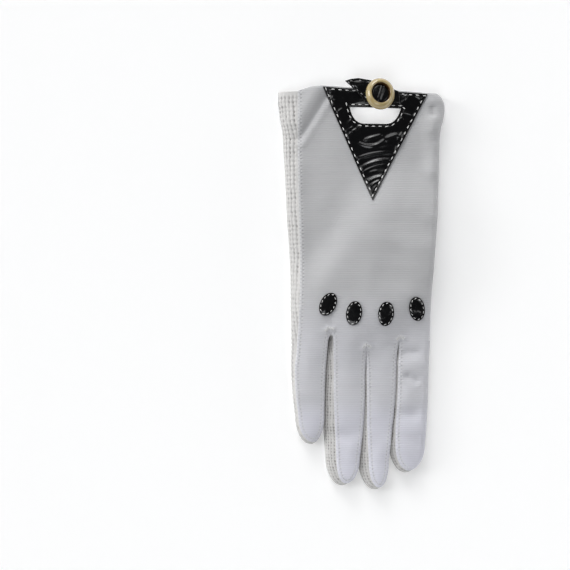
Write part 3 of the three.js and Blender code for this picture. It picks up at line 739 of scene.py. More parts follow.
def comb(hand_point, finger_point, extra_hand=lambda step: [], extra_index=lambda row: []):
    """Points and faces of a panel. The extra points at the end of a row turn round the thumb side."""
    points, faces = [], []

    def add(point):
        points.append(point)
        return len(points) - 1

    def eased(line, first):
        """The line with its turns from its first point on made smoother."""
        for _ in range(FOLD_SMOOTHING):
            line = [
                point if i <= first or i == len(line) - 1
                else (point[0] / 2 + (line[i - 1][0] + line[i + 1][0]) / 4, point[1],
                      point[2] / 2 + (line[i - 1][2] + line[i + 1][2]) / 4)
                for i, point in enumerate(line)
            ]
        return line

    def join(upper, lower):
        for i in range(1, min(len(upper), len(lower))):
            faces.append((upper[i - 1], lower[i - 1], lower[i], upper[i]))

    columns = [(f, across) for f in range(4) for across in ACROSS[:-1]] + [(3, 1)]
    above = None
    for step in range(HAND_ROWS + 1):
        row = [hand_point(f, across, step) for f, across in columns]
        turned_round = extra_hand(step)
        if turned_round:
            row = eased(row + turned_round, len(columns) - FOLD_APPROACH)
        line = [add(point) for point in row]
        if above:
            join(above, line)
        above = line
    width = len(ACROSS) - 1
    for f in range(4):
        extra = len(extra_index(0)) if f == 3 else 0
        upper = above[f * width:(f + 1) * width + 1 + extra]
        for row in range(1, len(strips["back"][f])):
            points_across = [finger_point(f, row, across) for across in ACROSS]
            if extra:
                points_across = eased(points_across + extra_index(row), len(ACROSS) - FOLD_APPROACH)
            lower = [add(point) for point in points_across]
            join(upper, lower)
            upper = lower
    return points, faces


def hand_place(f, across, step, left_edge, right_edge):
    share = mix(root_shares[f]["share"], root_shares[f + 1]["share"], across)
    cuff_x = mix(left_edge(HAND[0]["y"]), right_edge(HAND[0]["y"]), share)
    y = mix(cuff_edge(cuff_x), root_edge(share), (step / HAND_ROWS) ** CUFF_CROWDING)
    return mix(left_edge(y), right_edge(y), share), y


def cuff_hem(x, y):
    return -CUFF_HEM["drop"] * clamp(1 - (cuff_edge(x) - y) / CUFF_HEM["roll"]) ** 2


def fold_points(y, outer_x, top, bottom, reach, last_angle):
    """The middle of the cloth round the fold on the thumb side."""
    middle = (top + bottom) / 2
    points = []
    for i in range(1, FOLD_STEPS + 1):
        angle = math.radians(mix(90, last_angle, i / FOLD_STEPS))
        x = outer_x - reach + (reach - CLOTH / 2) * math.cos(angle)
        points.append((x, y, middle + (top - middle) * math.sin(angle)))
    return points


def back_surface():
    def right_edge(y):
        return fold_edge(y) - FOLD_ROUND

    def hand_point(f, across, step):
        x, y = hand_place(f, across, step, seam_edge, right_edge)
        z = back_top(x, y) - CLOTH / 2 + hem("back", x, y) + cuff_hem(x, y)
        return x, y, z

    def extra_hand(step):
        _, y, z = hand_point(3, 1, step)
        outer_x = fold_edge(y)
        bottom = palm_bottom(outer_x - FOLD_ROUND, y) + CLOTH / 2
        flange_x = outer_x - FLANGE
        round_fold = fold_points(y, outer_x, z, bottom, FOLD_ROUND, -90)
        return round_fold + [(flange_x, y, palm_bottom(flange_x, y) + CLOTH / 2)]

    def finger_point(f, row, across):
        strip = strips["back"][f][row]
        inset = FOLD_ROUND * strip["narrow"] if f == 3 else 0
        x = mix(strip["left"][0], strip["right"][0] - inset, across)
        y = mix(strip["left"][1], strip["right"][1], across)
        top = finger_back_top(x, y, strip["narrow"], across)
        return x, y, top - CLOTH / 2 + hem("back", x, y)

    def extra_index(row):
        strip = strips["back"][3][row]
        _, y, z = finger_point(3, row, 1)
        x = strip["right"][0]
        bottom = palm_bottom(x, y) + CLOTH / 2
        return fold_points(y, x, z, bottom, max(FOLD_ROUND * strip["narrow"], CLOTH), 0)

    return comb(hand_point, finger_point, extra_hand, extra_index)


def palm_surface():
    def right_edge(y):
        return fold_edge(y) - FLANGE - SEAM_GAP

    def sheet_point(x, y):
        return x, y, palm_bottom(x, y) + CLOTH / 2 - 0.5 * hem("palm", x, y)

    def finger_point(f, row, across):
        strip = strips["palm"][f][row]
        x = mix(strip["left"][0], strip["right"][0], across)
        return sheet_point(x, mix(strip["left"][1], strip["right"][1], across))

    def hand_point(f, across, step):
        if step == HAND_ROWS:
            return finger_point(f, 0, across)
        return sheet_point(*hand_place(f, across, step, outer_edge, right_edge))

    return comb(hand_point, finger_point)


def bent_line(start, bend, end, steps=10):
    """A curve from start to end, drawn towards its bend."""
    a, b, c = Vector(start), Vector(bend), Vector(end)
    return [a.lerp(b, k / steps).lerp(b.lerp(c, k / steps), k / steps) for k in range(steps + 1)]


def keyhole_outline():
    k = KEYHOLE
    left = bent_line(k["top_left"], k["left_bend"], k["bottom_left"])
    return left + bent_line(k["bottom_right"], k["right_bend"], k["top_right"])


def ellipse(centre, long, wide, turn, steps=56):
    spin = Matrix.Rotation(turn, 2)
    angles = [2 * math.pi * k / steps for k in range(steps)]
    return [Vector(centre) + spin @ Vector((long * math.cos(a), wide * math.sin(a))) for a in angles]


def cut_through(obj, outline):
    """Cuts a window with a plane outline straight through a piece."""
    count = len(outline)
    points = [(p.x, p.y, z) for z in (-10, 40) for p in outline]
    faces = [tuple(reversed(range(count))), tuple(range(count, 2 * count))]
    faces += [(i, (i + 1) % count, count + (i + 1) % count, count + i) for i in range(count)]
    cutter = new_object("window", points, faces)
    apply_modifier(obj, "BOOLEAN", object=cutter, operation="DIFFERENCE", solver="EXACT")
    bpy.data.objects.remove(cutter)


# Eyelet mesh walls between the palm's and the back's edge

def wall_ends(f, row, hand):
    palm = strips["palm"][f][row][hand]
    strip = strips["back"][f][row]
    back = strip[hand]
    top = finger_back_top(back[0], back[1], strip["narrow"], 0)
    return wall_step(palm, back, top)


def wall_step(palm, back, top):
    low = Vector((palm[0], palm[1], palm_bottom(*palm) + CLOTH / 2))
    return low, Vector((back[0], back[1], top - CLOTH / 2 - HEM["drop"]))


def wall_tip(f):
    """The last step of a wall, at the middle of the fingertip."""
    low, high = wall_ends(f, len(strips["back"][f]) - 1, "left")
    low.x = FINGERS[f]["palm_tip"]
    high.x = FINGERS[f]["tip"][0]
    return low, high


def fourchette_path(f):
    rows = range(len(strips["back"][f]))
    up = [wall_ends(f, row, "right") for row in reversed(rows)]
    down = [wall_ends(f + 1, row, "left") for row in rows[1:]]
    return [wall_tip(f), *up, *down, wall_tip(f + 1)]


def side_path():
    path = []
    for step in range(HAND_ROWS):
        y = mix(cuff_edge(seam_edge(HAND[0]["y"])), ROOT_Y["little"], step / HAND_ROWS)
        seam = seam_edge(y)
        path.append(wall_step((outer_edge(y), y), (seam, y), back_top(seam, y)))
    path += [wall_ends(0, row, "left") for row in range(len(strips["back"][0]))]
    return [*path, wall_tip(0)]


def index_side_path():
    path = []
    for row in reversed(range(len(strips["back"][3]))):
        strip = strips["back"][3][row]
        x, y = strip["right"]
        low, _ = wall_ends(3, row, "right")
        edge_x = x - FOLD_ROUND * strip["narrow"]
        top = finger_back_top(edge_x, y, strip["narrow"], 1) - CLOTH / 2
        middle = (top + palm_bottom(x, y) + CLOTH / 2) / 2
        path.append((low, Vector((x - CLOTH / 2, y, middle + SEAM_GAP))))
    tip_low, tip_high = wall_tip(3)
    tip_high.z = path[0][1].z
    return [(tip_low, tip_high), *path]


def eyelet_relief(mesh, along, across, height):
    """How dark the mesh is painted at a place, from 0 to 1, as painted shade in its eyelets and channels, and
    its relief in millimetres.
    """
    row = along / mesh["along"] + EYELET["wander_along"] * math.sin(along * 0.9 + across * 1.7)
    column = across / mesh["across"] + EYELET["wander_across"] * math.sin(along * 0.37)
    a, c = row - math.floor(row) - 0.5, column - math.floor(column) - 0.5
    eyelet = math.exp(-(a * a / EYELET["long"] + c * c / EYELET["wide"]))
    channel = math.exp(-(c * c / EYELET["channel"]))
    rib = math.cos(2 * math.pi * a) * 0.5 - 0.5
    margin = ease(min(across, height - across), 0.2, 1.1)
    if mesh["hem"]:
        margin *= ease(along, mesh["hem"], mesh["hem"] + 0.6)
    uneven = 0.95 + EYELET["uneven"] * noise.noise(Vector((along / 3.1, across / 1.9, height)))
    relief = -mesh["pit"] * eyelet * uneven - mesh["rib"] * (channel + 0.35 * rib)
    shade = (eyelet + mesh["groove"] * channel) * uneven * mesh["shade"]
    return margin * clamp(shade), margin * relief


def wall_bulge(low, high):
    """How far a mesh wall bulges out at half its height: not at all where two fingers part."""
    middle = (low + high) / 2
    away = min(math.hypot(middle.x - crotch["x"], middle.y - crotch["y"]) for crotch in CROTCHES)
    return BULGE["height"] * ease(away, *BULGE["crotch_free"])


def mesh_wall(name, path, mesh):
    """A wall of eyelet mesh along a path of lower and upper ends. Its outer side is on the path's right."""
    six = [tuple(low) + tuple(high) for low, high in path]
    steps = resampled([Vector(p) for p in six], mesh["step"] * 1.4)
    height = max((Vector(p[3:]) - Vector(p[:3])).length for p in steps)
    count = max(4, round(height / mesh["step"]))
    points, faces, painted_eyelet_shades, along = [], [], [], 0
    for i, p in enumerate(steps):
        before, after = steps[max(i - 1, 0)], steps[min(i + 1, len(steps) - 1)]
        heading = Vector(after[:3]) + Vector(after[3:]) - Vector(before[:3]) - Vector(before[3:])
        low, high = Vector(p[:3]), Vector(p[3:])
        rise = high - low
        out = heading.cross(rise).normalized()
        if i:
            along += (Vector(p) - Vector(steps[i - 1])).length / math.sqrt(2)
        bulge = wall_bulge(low, high)
        for k in range(count + 1):
            across = rise.length * k / count
            pit, relief = eyelet_relief(mesh, along, across, rise.length)
            relief += bulge * math.sin(math.pi * (k / count) ** 0.8)
            points.append(low + rise * (k / count) + out * relief)
            painted_eyelet_shades.append(pit)
        if i:
            a, b = (i - 1) * (count + 1), i * (count + 1)
            faces += [(a + k, b + k, b + k + 1, a + k + 1) for k in range(count)]
    obj = new_object(name, points, faces)
    # Painted shade: how dark each point of the mesh is painted in its eyelets and channels
    attribute = obj.data.attributes.new("pit", "FLOAT", "POINT")
    attribute.data.foreach_set("value", painted_eyelet_shades)
    return obj


# The thumb is a flattened pouch whose mouth opens upwards into the hand

def thumb_ring(inset, steps=96):
    """The thumb's outline from above, drawn in by some distance."""
    radii = [THUMB[key] - inset for key in ("root_radius", "tip_radius")]
    half = math.acos((radii[0] - radii[1]) / THUMB_AXIS.length)
    ring = []
    for k in range(steps):
        angle = 2 * math.pi * k / steps - math.pi
        centre, radius = (THUMB["tip"], radii[1]) if abs(angle) < half else (THUMB["root"], radii[0])
        angle += THUMB_TURN
        ring.append(centre + radius * Vector((math.cos(angle), math.sin(angle))))
    return ring


def thumb_surface():
    """Rings of the thumb from the middle of its underside round its edge and in to the mouth on top."""
    round_edge = THUMB["edge_round"]
    levels = [(round_edge + inset, 0) for inset in (4.5, 3.3, 2.4, 1.6, 1.0, 0.5, 0)]
    for turn in (*range(12, 85, 12), *range(96, 181, 12)):
        from_level = math.radians(min(turn, 180 - turn))
        rise = 0.5 * (1 - math.cos(from_level))
        levels.append((round_edge * (1 - math.sin(from_level)), rise if turn < 90 else 1 - rise))
    rings = []
    half_cloth = CLOTH / 2
    for inset, share in levels:
        ring = []
        for p in thumb_ring(inset + half_cloth):
            along, _ = thumb_place(p.x, p.y)
            ring.append((p.x, p.y, mix(half_cloth, thumb_height(along) - half_cloth, share)))
        rings.append(ring)
    rim = rings[-1]
    hole = THUMB_HOLE["centre"]
    for s in (0.15, 0.35, 0.6, 0.85, 1):
        ring = []
        for x, y, _ in rim:
            away = Matrix.Rotation(-THUMB_TURN, 2) @ (Vector((x, y)) - hole)
            reach = math.hypot(away.x / THUMB_HOLE["long"], away.y / THUMB_HOLE["wide"])
            mouth = hole + (Vector((x, y)) - hole) / reach
            p = Vector((x, y)).lerp(mouth, s)
            along, _ = thumb_place(p.x, p.y)
            ring.append((p.x, p.y, thumb_height(along) - half_cloth))
        rings.append(ring)
    count = len(rim)
    points = [point for ring in rings for point in ring]
    faces = [tuple(range(count))[::-1]]
    for r in range(1, len(rings)):
        a, b = (r - 1) * count, r * count
        faces += [(a + k, a + (k + 1) % count, b + (k + 1) % count, b + k) for k in range(count)]
    return points, faces


# Patent pieces: flat patches laid over the cloth, with creases

def inside(point, outline):
    """Whether a place lies inside a closed outline."""
    x, y = point
    crossings = 0
    for a, b in zip(outline, [*outline[1:], outline[0]]):
        if (a[1] > y) != (b[1] > y) and x < a[0] + (y - a[1]) * (b[0] - a[0]) / (b[1] - a[1]):
            crossings += 1
    return crossings % 2 == 1


def flat_patch(outline, holes, grid):
    """Points and triangles of a plane piece with windows, evenly fine."""
    loops = [resampled(loop, grid * 0.8, closed=True) for loop in [outline, *holes]]
    points, edges = [], []
    for loop in loops:
        first = len(points)
        points += loop
        edges += [(first + i, first + (i + 1) % len(loop)) for i in range(len(loop))]
    tree = tree_of(points)

    def within(point):
        return inside(point, loops[0]) and not any(inside(point, hole) for hole in loops[1:])

    low = [min(p[i] for p in points) for i in (0, 1)]
    high = [max(p[i] for p in points) for i in (0, 1)]
    row, y = 0, low[1]
    while y < high[1]:
        x = low[0] + (row % 2) * grid / 2
        while x < high[0]:
            clear = tree.find((x, y, 0))[2] > grid * 0.55
            if clear and within((x, y)):
                points.append(Vector((x, y)))
            x += grid
        y += grid * 0.866
        row += 1
    verts, _, faces, *_ = delaunay_2d_cdt(points, edges, [], 0, 1e-5)
    kept = []
    for face in faces:
        centre = sum((verts[i] for i in face), Vector((0, 0))) / len(face)
        if within(centre):
            kept.append(tuple(face))
    return verts, kept


def ends(row):
    """The two ends of the line in a row of a table."""
    return Vector((row["x0"], row["y0"])), Vector((row["x1"], row["y1"]))


def from_line(at, a, b):
    """How far along a line the nearest place on it lies, and how far away that is."""
    along = clamp((at - a).dot(b - a) / (b - a).length_squared)
    return along, (at - a.lerp(b, along)).length


def crease_lines():
    """The triangle's creases, each with the points of its bow."""
    lines = []
    for crease in CREASES:
        start, end = ends(crease)
        side = Vector((start.y - end.y, end.x - start.x)).normalized()
        line = []
        for k in range(CREASE_PARTS + 1):
            share = k / CREASE_PARTS
            line.append(start.lerp(end, share) + side * crease["bow"] * arch(share))
        lines.append((crease, line))
    return lines


crease_paths = crease_lines()


def crease_relief(x, y):
    """Height of the patent's creases: narrow ridges that die out at their ends."""
    here = Vector((x, y))
    total = 0
    for crease, line in crease_paths:
        if (here - line[CREASE_PARTS // 2]).length > CREASE_REACH:
            continue
        best, share = 1e9, 0
        for k, (a, b) in enumerate(zip(line, line[1:])):
            along, away = from_line(here, a, b)
            if away < best:
                best, share = away, (k + along) / CREASE_PARTS
        total += crease["height"] * bell(best, crease["width"]) * arch(share) ** 0.5
    return total


def patent_top(x, y):
    return back_top(x, y) + PATENT


def strap_top(x, y):
    """The strap end lies on the yoke, runs on level past the cuff edge and curls up at its tip."""
    curl = clamp((STRAP_CURL["from"] - x) / STRAP_CURL["length"]) ** 2
    return back_top(x, min(y, STRAP_LEVEL_Y)) + 2 * TRIM_TOP + STRAP_CURL["rise"] * curl


def patch_piece(name, outline, holes, top, thickness):
    """A closed patch of patent: its upper side follows a height, with creases and rounded edges."""
    verts, faces = flat_patch(outline, holes, PATCH["grid"])
    nearest = [nearest_on([*loop, loop[0]]) for loop in [outline, *holes]]
    upper, lower = [], []
    for v in verts:
        rim = min(read(v.x, v.y)[1] for read in nearest)
        inward = ease(rim, *PATCH["rim"])
        wrinkle = PATCH["wrinkle"] * noise.noise(Vector((v.x / 9, v.y / 4.6, 3)))
        sewn = -PATCH["groove_depth"] * bell(rim - PATCH["groove"], PATCH["groove_width"])
        away = clamp(1 - rim / PATCH["rounding"])
        rounded = PATCH["rounding"] * (1 - math.sqrt(1 - away * away))
        level = top(v.x, v.y)
        upper.append((v.x, v.y, level - rounded + inward * (crease_relief(v.x, v.y) + wrinkle) + sewn))
        lower.append((v.x, v.y, level - thickness))
    count = len(verts)
    uses = {}
    for face in faces:
        for a, b in zip(face, [*face[1:], face[0]]):
            uses[(a, b)] = face
    rims = [(a, b) for a, b in uses if (b, a) not in uses]
    closed = [tuple(face) for face in faces]
    closed += [tuple(count + i for i in reversed(face)) for face in faces]
    closed += [(b, a, count + a, count + b) for a, b in rims]
    obj = new_object(name, upper + lower, closed)
    face_up(obj)
    return obj


# Stitches are modelled once and copied along their rows

def stitch_shape(long, wide, high):
    """One stitch: a short rounded dash of thread."""
    deselect_all()
    bpy.ops.mesh.primitive_uv_sphere_add(segments=8, ring_count=6, radius=0.5 * MM)
    obj = bpy.context.active_object
    bpy.ops.object.mode_set(mode="EDIT")
    bpy.ops.transform.rotate(value=math.pi / 2, orient_axis="Y", center_override=(0, 0, 0))
    bpy.ops.transform.resize(value=(long, wide, high))
    bpy.ops.object.mode_set(mode="OBJECT")
    vertices = [v.co.copy() for v in obj.data.vertices]
    faces = [tuple(p.vertices) for p in obj.data.polygons]
    bpy.data.objects.remove(obj)
    return vertices, faces


def stitch_row(name, shape, places, material):
    """A row of stitches, each at a place with a heading and the normal of the cloth under it."""
    vertices, faces, points, polygons = shape[0], shape[1], [], []
    for centre, heading, normal in places:
        side = normal.cross(heading).normalized()
        ahead = side.cross(normal)
        turn = Matrix((ahead, side, normal)).transposed()
        first = len(points)
        points += [centre + turn @ v for v in vertices]
        polygons += [tuple(first + i for i in face) for face in faces]
    mesh = bpy.data.meshes.new(name)
    mesh.from_pydata(points, [], polygons)
    finish(add_object(name, mesh), material, "plain_cloth")


def along_path(path, pitch, read, closed=False):
    """Places for stitches along a path over a surface, a pitch apart."""
    points = resampled(path, pitch, closed)
    beyond = points[0] if closed else points[-1] * 2 - points[-2]
    places = []
    for point, after in zip(points, [*points[1:], beyond]):
        hit, normal = read(point.x, point.y)
        if hit and abs(normal.z) > LEAST_LEVEL:
            places.append((hit, (after - point).to_3d().normalized(), normal))
    return places


# Shader node groups and materials

def node_group(name, inputs, outputs):
    group = bpy.data.node_groups.new(name, "ShaderNodeTree")
    for label, kind, default in inputs:
        socket = group.interface.new_socket(label, in_out="INPUT", socket_type=kind)
        if default is not None:
            socket.default_value = default
    for label, kind in outputs:
        group.interface.new_socket(label, in_out="OUTPUT", socket_type=kind)
    return group, group.nodes.new("NodeGroupInput"), group.nodes.new("NodeGroupOutput")


class Wiring:
    """Adds nodes to a tree and joins them."""

    def __init__(self, tree):
        self.tree = tree

    def node(self, kind, **settings):
        made = self.tree.nodes.new(kind)
        for name, value in settings.items():
            setattr(made, name, value)
        return made

    def feed(self, socket, value):
        if isinstance(value, bpy.types.NodeSocket):
            self.tree.links.new(value, socket)
        else:
            socket.default_value = value

    def set(self, node, **values):
        """Sets sockets by their names, with _ for a space."""
        for name, value in values.items():
            node.inputs[name.replace("_", " ")].default_value = value

    def group(self, tree, **values):
        made = self.node("ShaderNodeGroup")
        made.node_tree = tree
        self.set(made, **values)
        return made

    def attribute(self, name):
        return self.node("ShaderNodeAttribute", attribute_name=name)

    def split(self, vector):
        made = self.node("ShaderNodeSeparateXYZ")
        self.feed(made.inputs[0], vector)
        return made.outputs

    def math(self, operation, a, b=0.0, c=None):
        made = self.node("ShaderNodeMath", operation=operation)
        self.feed(made.inputs[0], a)
        self.feed(made.inputs[1], b)
        if c is not None:
            self.feed(made.inputs[2], c)
        return made.outputs[0]

    def blend(self, factor, a, b):
        made = self.node("ShaderNodeMix", data_type="RGBA")
        self.feed(made.inputs[0], factor)
        self.feed(made.inputs[6], a)
        self.feed(made.inputs[7], b)
        return made.outputs[2]

    def noise(self, vector, scale, detail=2.0):
        made = self.node("ShaderNodeTexNoise")
        self.feed(made.inputs["Vector"], vector)
        self.set(made, Scale=scale, Detail=detail)
        return made.outputs[0]

    def place(self):
        return self.node("ShaderNodeTexCoord").outputs["Object"]

    def stretched(self, vector, x, y, z):
        made = self.node("ShaderNodeVectorMath", operation="MULTIPLY")
        self.feed(made.inputs[0], vector)
        made.inputs[1].default_value = (x, y, z)
        return made.outputs[0]


def knit_group():
    """Fine knit: cross ribs at a pitch, a fibre grain and soft, uneven tone. The grooves between the ribs are
    painted darker, as painted shade.
    """
    group, inputs, outputs = node_group("Fine knit", [
        ("Rib pitch", "NodeSocketFloat", 1.1), ("Rib depth", "NodeSocketFloat", 1.0),
        ("Grain", "NodeSocketFloat", 0.4), ("Light tone", "NodeSocketColor", (0.8, 0.8, 0.8, 1)),
        ("Dark tone", "NodeSocketColor", (0.7, 0.7, 0.7, 1)),
    ], [("Color", "NodeSocketColor"), ("Height", "NodeSocketFloat"), ("Roughness", "NodeSocketFloat")])
    w = Wiring(group)
    where = w.place()
    split = w.split(where)
    wander = w.noise(w.stretched(where, 0.3, 1, 1), 60, 2)
    rows = w.math("DIVIDE", split["Y"], w.math("MULTIPLY", inputs.outputs["Rib pitch"], MM))
    rows = w.math("MULTIPLY_ADD", wander, 0.7, rows)
    rib = w.math("MULTIPLY_ADD", w.math("SINE", w.math("MULTIPLY", rows, 2 * math.pi)), 0.5, 0.5)
    columns = w.math("MULTIPLY", split["X"], 2 * math.pi / (0.6 * MM))
    loop = w.math("MULTIPLY_ADD", w.math("SINE", columns), 0.5, 0.5)
    fibre = w.noise(where, 2600, 3)
    height = w.math("MULTIPLY", rib, inputs.outputs["Rib depth"])
    height = w.math("MULTIPLY_ADD", loop, 0.12, height)
    height = w.math("MULTIPLY_ADD", fibre, inputs.outputs["Grain"], height)
    w.feed(outputs.inputs["Height"], height)
    cloud = w.noise(where, 55, 3)
    # Painted shade: darker between the ribs; the cloud and the fibre add the cloth's own uneven tone
    between_ribs = w.math("SUBTRACT", 1.0, rib)
    shade = w.math("MULTIPLY_ADD", between_ribs, w.math("MULTIPLY", inputs.outputs["Rib depth"], 0.35), 0.0)
    shade = w.math("MULTIPLY_ADD", cloud, 0.5, shade)
    shade = w.math("MULTIPLY_ADD", fibre, 0.34, w.math("SUBTRACT", shade, 0.29))
    w.feed(outputs.inputs["Color"], w.blend(shade, inputs.outputs["Light tone"], inputs.outputs["Dark tone"]))
    w.feed(outputs.inputs["Roughness"], w.math("MULTIPLY_ADD", fibre, 0.12, 0.74))
    return group


def needle_group():
    """Needle holes along the sewn edges, a row at the seam and one at the topstitch, with puffs between."""
    group, inputs, outputs = node_group("Needle holes", [
        ("Seam", "NodeSocketVector", None), ("Pitch", "NodeSocketFloat", NEEDLE["pitch"]),
    ], [("Mask", "NodeSocketFloat"), ("Puff", "NodeSocketFloat")])
    w = Wiring(group)
    split = w.split(inputs.outputs["Seam"])
    pitch = inputs.outputs["Pitch"]
    rows, puffs = [], []
    for away, shift, strength in ((NEEDLE["seam"], 0.5, 0.45), (NEEDLE["topstitch"], 0.0, 1.0)):
        turns = w.math("ADD", w.math("DIVIDE", split["X"], pitch), shift)
        along = w.math("MULTIPLY", w.math("PINGPONG", turns, 0.5), pitch)
        long = w.math("DIVIDE", along, NEEDLE["long"])
        wide = w.math("DIVIDE", w.math("SUBTRACT", split["Y"], away), NEEDLE["wide"])
        squares = w.math("MULTIPLY_ADD", long, long, w.math("MULTIPLY", wide, wide))
        rows.append(w.math("MULTIPLY", w.math("EXPONENT", w.math("MULTIPLY", squares, -1.0)), strength))
        beside = w.math("DIVIDE", w.math("SUBTRACT", split["Y"], away), NEEDLE["puff"])
        near = w.math("EXPONENT", w.math("MULTIPLY", w.math("MULTIPLY", beside, beside), -1.0))
        puffs.append(w.math("MULTIPLY", near, w.math("MULTIPLY", w.math("PINGPONG", turns, 0.5), 2.0)))
    w.feed(outputs.inputs["Mask"], w.math("MAXIMUM", rows[0], rows[1]))
    w.feed(outputs.inputs["Puff"], w.math("MAXIMUM", puffs[0], puffs[1]))
    return group


def new_material(name):
    material = bpy.data.materials.new(name)
    material.use_nodes = True
    tree = material.node_tree
    shader = tree.nodes["Principled BSDF"]
    return material, Wiring(tree), shader


def bump(w, shader, height, distance, strength=1.0):
    made = w.node("ShaderNodeBump")
    w.set(made, Strength=strength, Distance=distance * MM)
    w.feed(made.inputs["Height"], height)
    w.feed(shader.inputs["Normal"], made.outputs[0])


knit = knit_group()
needle_holes = needle_group()


def knit_node(w, pitch, depth, grain, light, dark):
    return w.group(knit, Rib_pitch=pitch, Rib_depth=depth, Grain=grain,
                   Light_tone=(*light, 1), Dark_tone=(*dark, 1)).outputs


def painted_light_below(w, colour, start, end, tone):
    """Painted light: the colour times a lighter tone that comes in from one height of the hand to another."""
    down = w.node("ShaderNodeMapRange", interpolation_type="SMOOTHERSTEP")
    w.feed(down.inputs["Value"], w.split(w.place())["Y"])
    w.set(down, From_Min=start * MM + ORIGIN.y, From_Max=end * MM + ORIGIN.y)
    brighter = w.node("ShaderNodeMix", data_type="RGBA", blend_type="MULTIPLY")
    w.feed(brighter.inputs[6], colour)
    w.feed(brighter.inputs[7], (*tone, 1))
    w.feed(brighter.inputs[0], down.outputs[0])
    return brighter.outputs[2]


def cloth_material(name, pitch, depth, grain, light, dark, lighter=()):
    """Ribbed cloth with needle holes along its sewn edges, painted dark as painted shade, and painted
    highlights on the puffs between them. Each row of lighter is painted light on the fingers: a lighter,
    bluer tone standing in for the light that falls there.
    """
    material, w, shader = new_material(name)
    made = knit_node(w, pitch, depth, grain, light, dark)
    colour = made["Color"]
    for start, end, tone in lighter:
        colour = painted_light_below(w, colour, start, end, tone)
    holes = w.group(needle_holes)
    w.feed(holes.inputs["Seam"], w.attribute("seam").outputs["Vector"])
    mask, puff = holes.outputs["Mask"], holes.outputs["Puff"]
    # Painted highlight: the cloth is painted lighter on the puffs between the needle holes
    painted_puff_highlight = w.blend(w.math("MULTIPLY", puff, 0.3), colour, (0.74, 0.74, 0.75, 1))
    # Painted shade: the needle holes are painted dark, unevenly
    uneven = w.math("MULTIPLY_ADD", w.noise(w.place(), 110, 2), 0.9, -0.12)
    colour_with_painted_holes = w.blend(w.math("MULTIPLY", mask, uneven), painted_puff_highlight, (0.16, 0.16, 0.18, 1))
    w.feed(shader.inputs["Base Color"], colour_with_painted_holes)
    w.feed(shader.inputs["Roughness"], made["Roughness"])
    w.set(shader, Sheen_Weight=0.15, Sheen_Roughness=0.5, Specular_IOR_Level=0.3)
    height = w.math("MULTIPLY_ADD", mask, -2.0, made["Height"])
    bump(w, shader, w.math("MULTIPLY_ADD", puff, 1.5, height), 0.12, 0.7)
    return material


def mesh_material():
    """Eyelet mesh: warm white ribs, with its eyelets and channels painted dark as painted shade."""
    material, w, shader = new_material("eyelet_mesh")
    made = knit_node(w, 0.55, 0.6, 0.5, (0.67, 0.662, 0.652), (0.53, 0.522, 0.512))
    # Painted shade: the eyelets and channels are painted dark
    depth = w.math("POWER", w.attribute("pit").outputs["Fac"], 1.3)
    w.feed(shader.inputs["Base Color"], w.blend(depth, made["Color"], (0.27, 0.255, 0.25, 1)))
    w.feed(shader.inputs["Roughness"], made["Roughness"])
    w.set(shader, Specular_IOR_Level=0.2)
    bump(w, shader, made["Height"], 0.1, 0.6)
    return material


def palm_material():
    """The palm's plain cloth. Painted light: its inner side glows under the cuff and keyhole, standing in for
    the light that falls in there.
    """
    material = cloth_material("plain_cloth", 0.9, 0.25, 0.35, (0.80, 0.80, 0.80), (0.72, 0.72, 0.72))
    w = Wiring(material.node_tree)
    shader = material.node_tree.nodes["Principled BSDF"]
    # Painted light: the palm's inner side glows where the keyhole lets light in
    glow = w.blend(w.attribute("painted_keyhole_glow").outputs["Fac"], (0, 0, 0, 1), (1, 1, 1, 1))
    w.feed(shader.inputs["Emission Color"], glow)
    w.set(shader, Emission_Strength=0.45)
    return material


def patent_material():
    """Black patent: a glossy coat over fine, uneven creases."""
    material, w, shader = new_material("black_patent")
    where = w.place()
    fine = w.noise(w.stretched(where, 0.6, 1.2, 1), 700, 3)
    broad = w.noise(w.stretched(where, 0.45, 1.6, 1), 120, 1)
    bump(w, shader, w.math("MULTIPLY_ADD", broad, 9.0, fine), 0.05, 0.4)
    colour = w.blend(w.noise(where, 300, 2), (0.0006, 0.0006, 0.0009, 1), (0.0026, 0.0026, 0.0032, 1))
    w.feed(shader.inputs["Base Color"], colour)
    w.feed(shader.inputs["Roughness"], w.math("MULTIPLY_ADD", fine, 0.12, 0.16))
    w.set(shader, Specular_IOR_Level=0.42, Coat_Weight=0.3, Coat_Roughness=0.05)
    return material


def thread_material(name, low, high):
    """Twisted thread between a darker and a lighter tone of grey."""
    material, w, shader = new_material(name)
    wave = w.node("ShaderNodeTexWave")
    w.feed(wave.inputs["Vector"], w.place())
    w.set(wave, Scale=700, Distortion=3)
    twist = wave.outputs["Fac"]
    w.feed(shader.inputs["Base Color"], w.blend(twist, (*low, 1), (*high, 1)))
    w.feed(shader.inputs["Roughness"], w.math("MULTIPLY_ADD", twist, 0.1, 0.55))
    bump(w, shader, twist, 0.05, 0.6)
    return material


def tan_material():
    """Tan plastic: slightly clouded, with a clear gloss, and darker on the inside of the ring."""
    material, w, shader = new_material("tan_plastic")
    where = w.place()
    tan = w.blend(w.noise(where, 140, 3), (0.34, 0.255, 0.11, 1), (0.50, 0.405, 0.20, 1))
    inner = w.attribute("inside").outputs["Fac"]
    w.feed(shader.inputs["Base Color"], w.blend(inner, tan, (0.085, 0.040, 0.010, 1)))
    w.feed(shader.inputs["Roughness"], w.math("MULTIPLY_ADD", w.noise(where, 900, 2), 0.1, 0.18))
    w.set(shader, Coat_Weight=1.0, Coat_Roughness=0.05, Subsurface_Weight=0.1,
          Subsurface_Radius=(0.003, 0.0018, 0.0006))
    return material


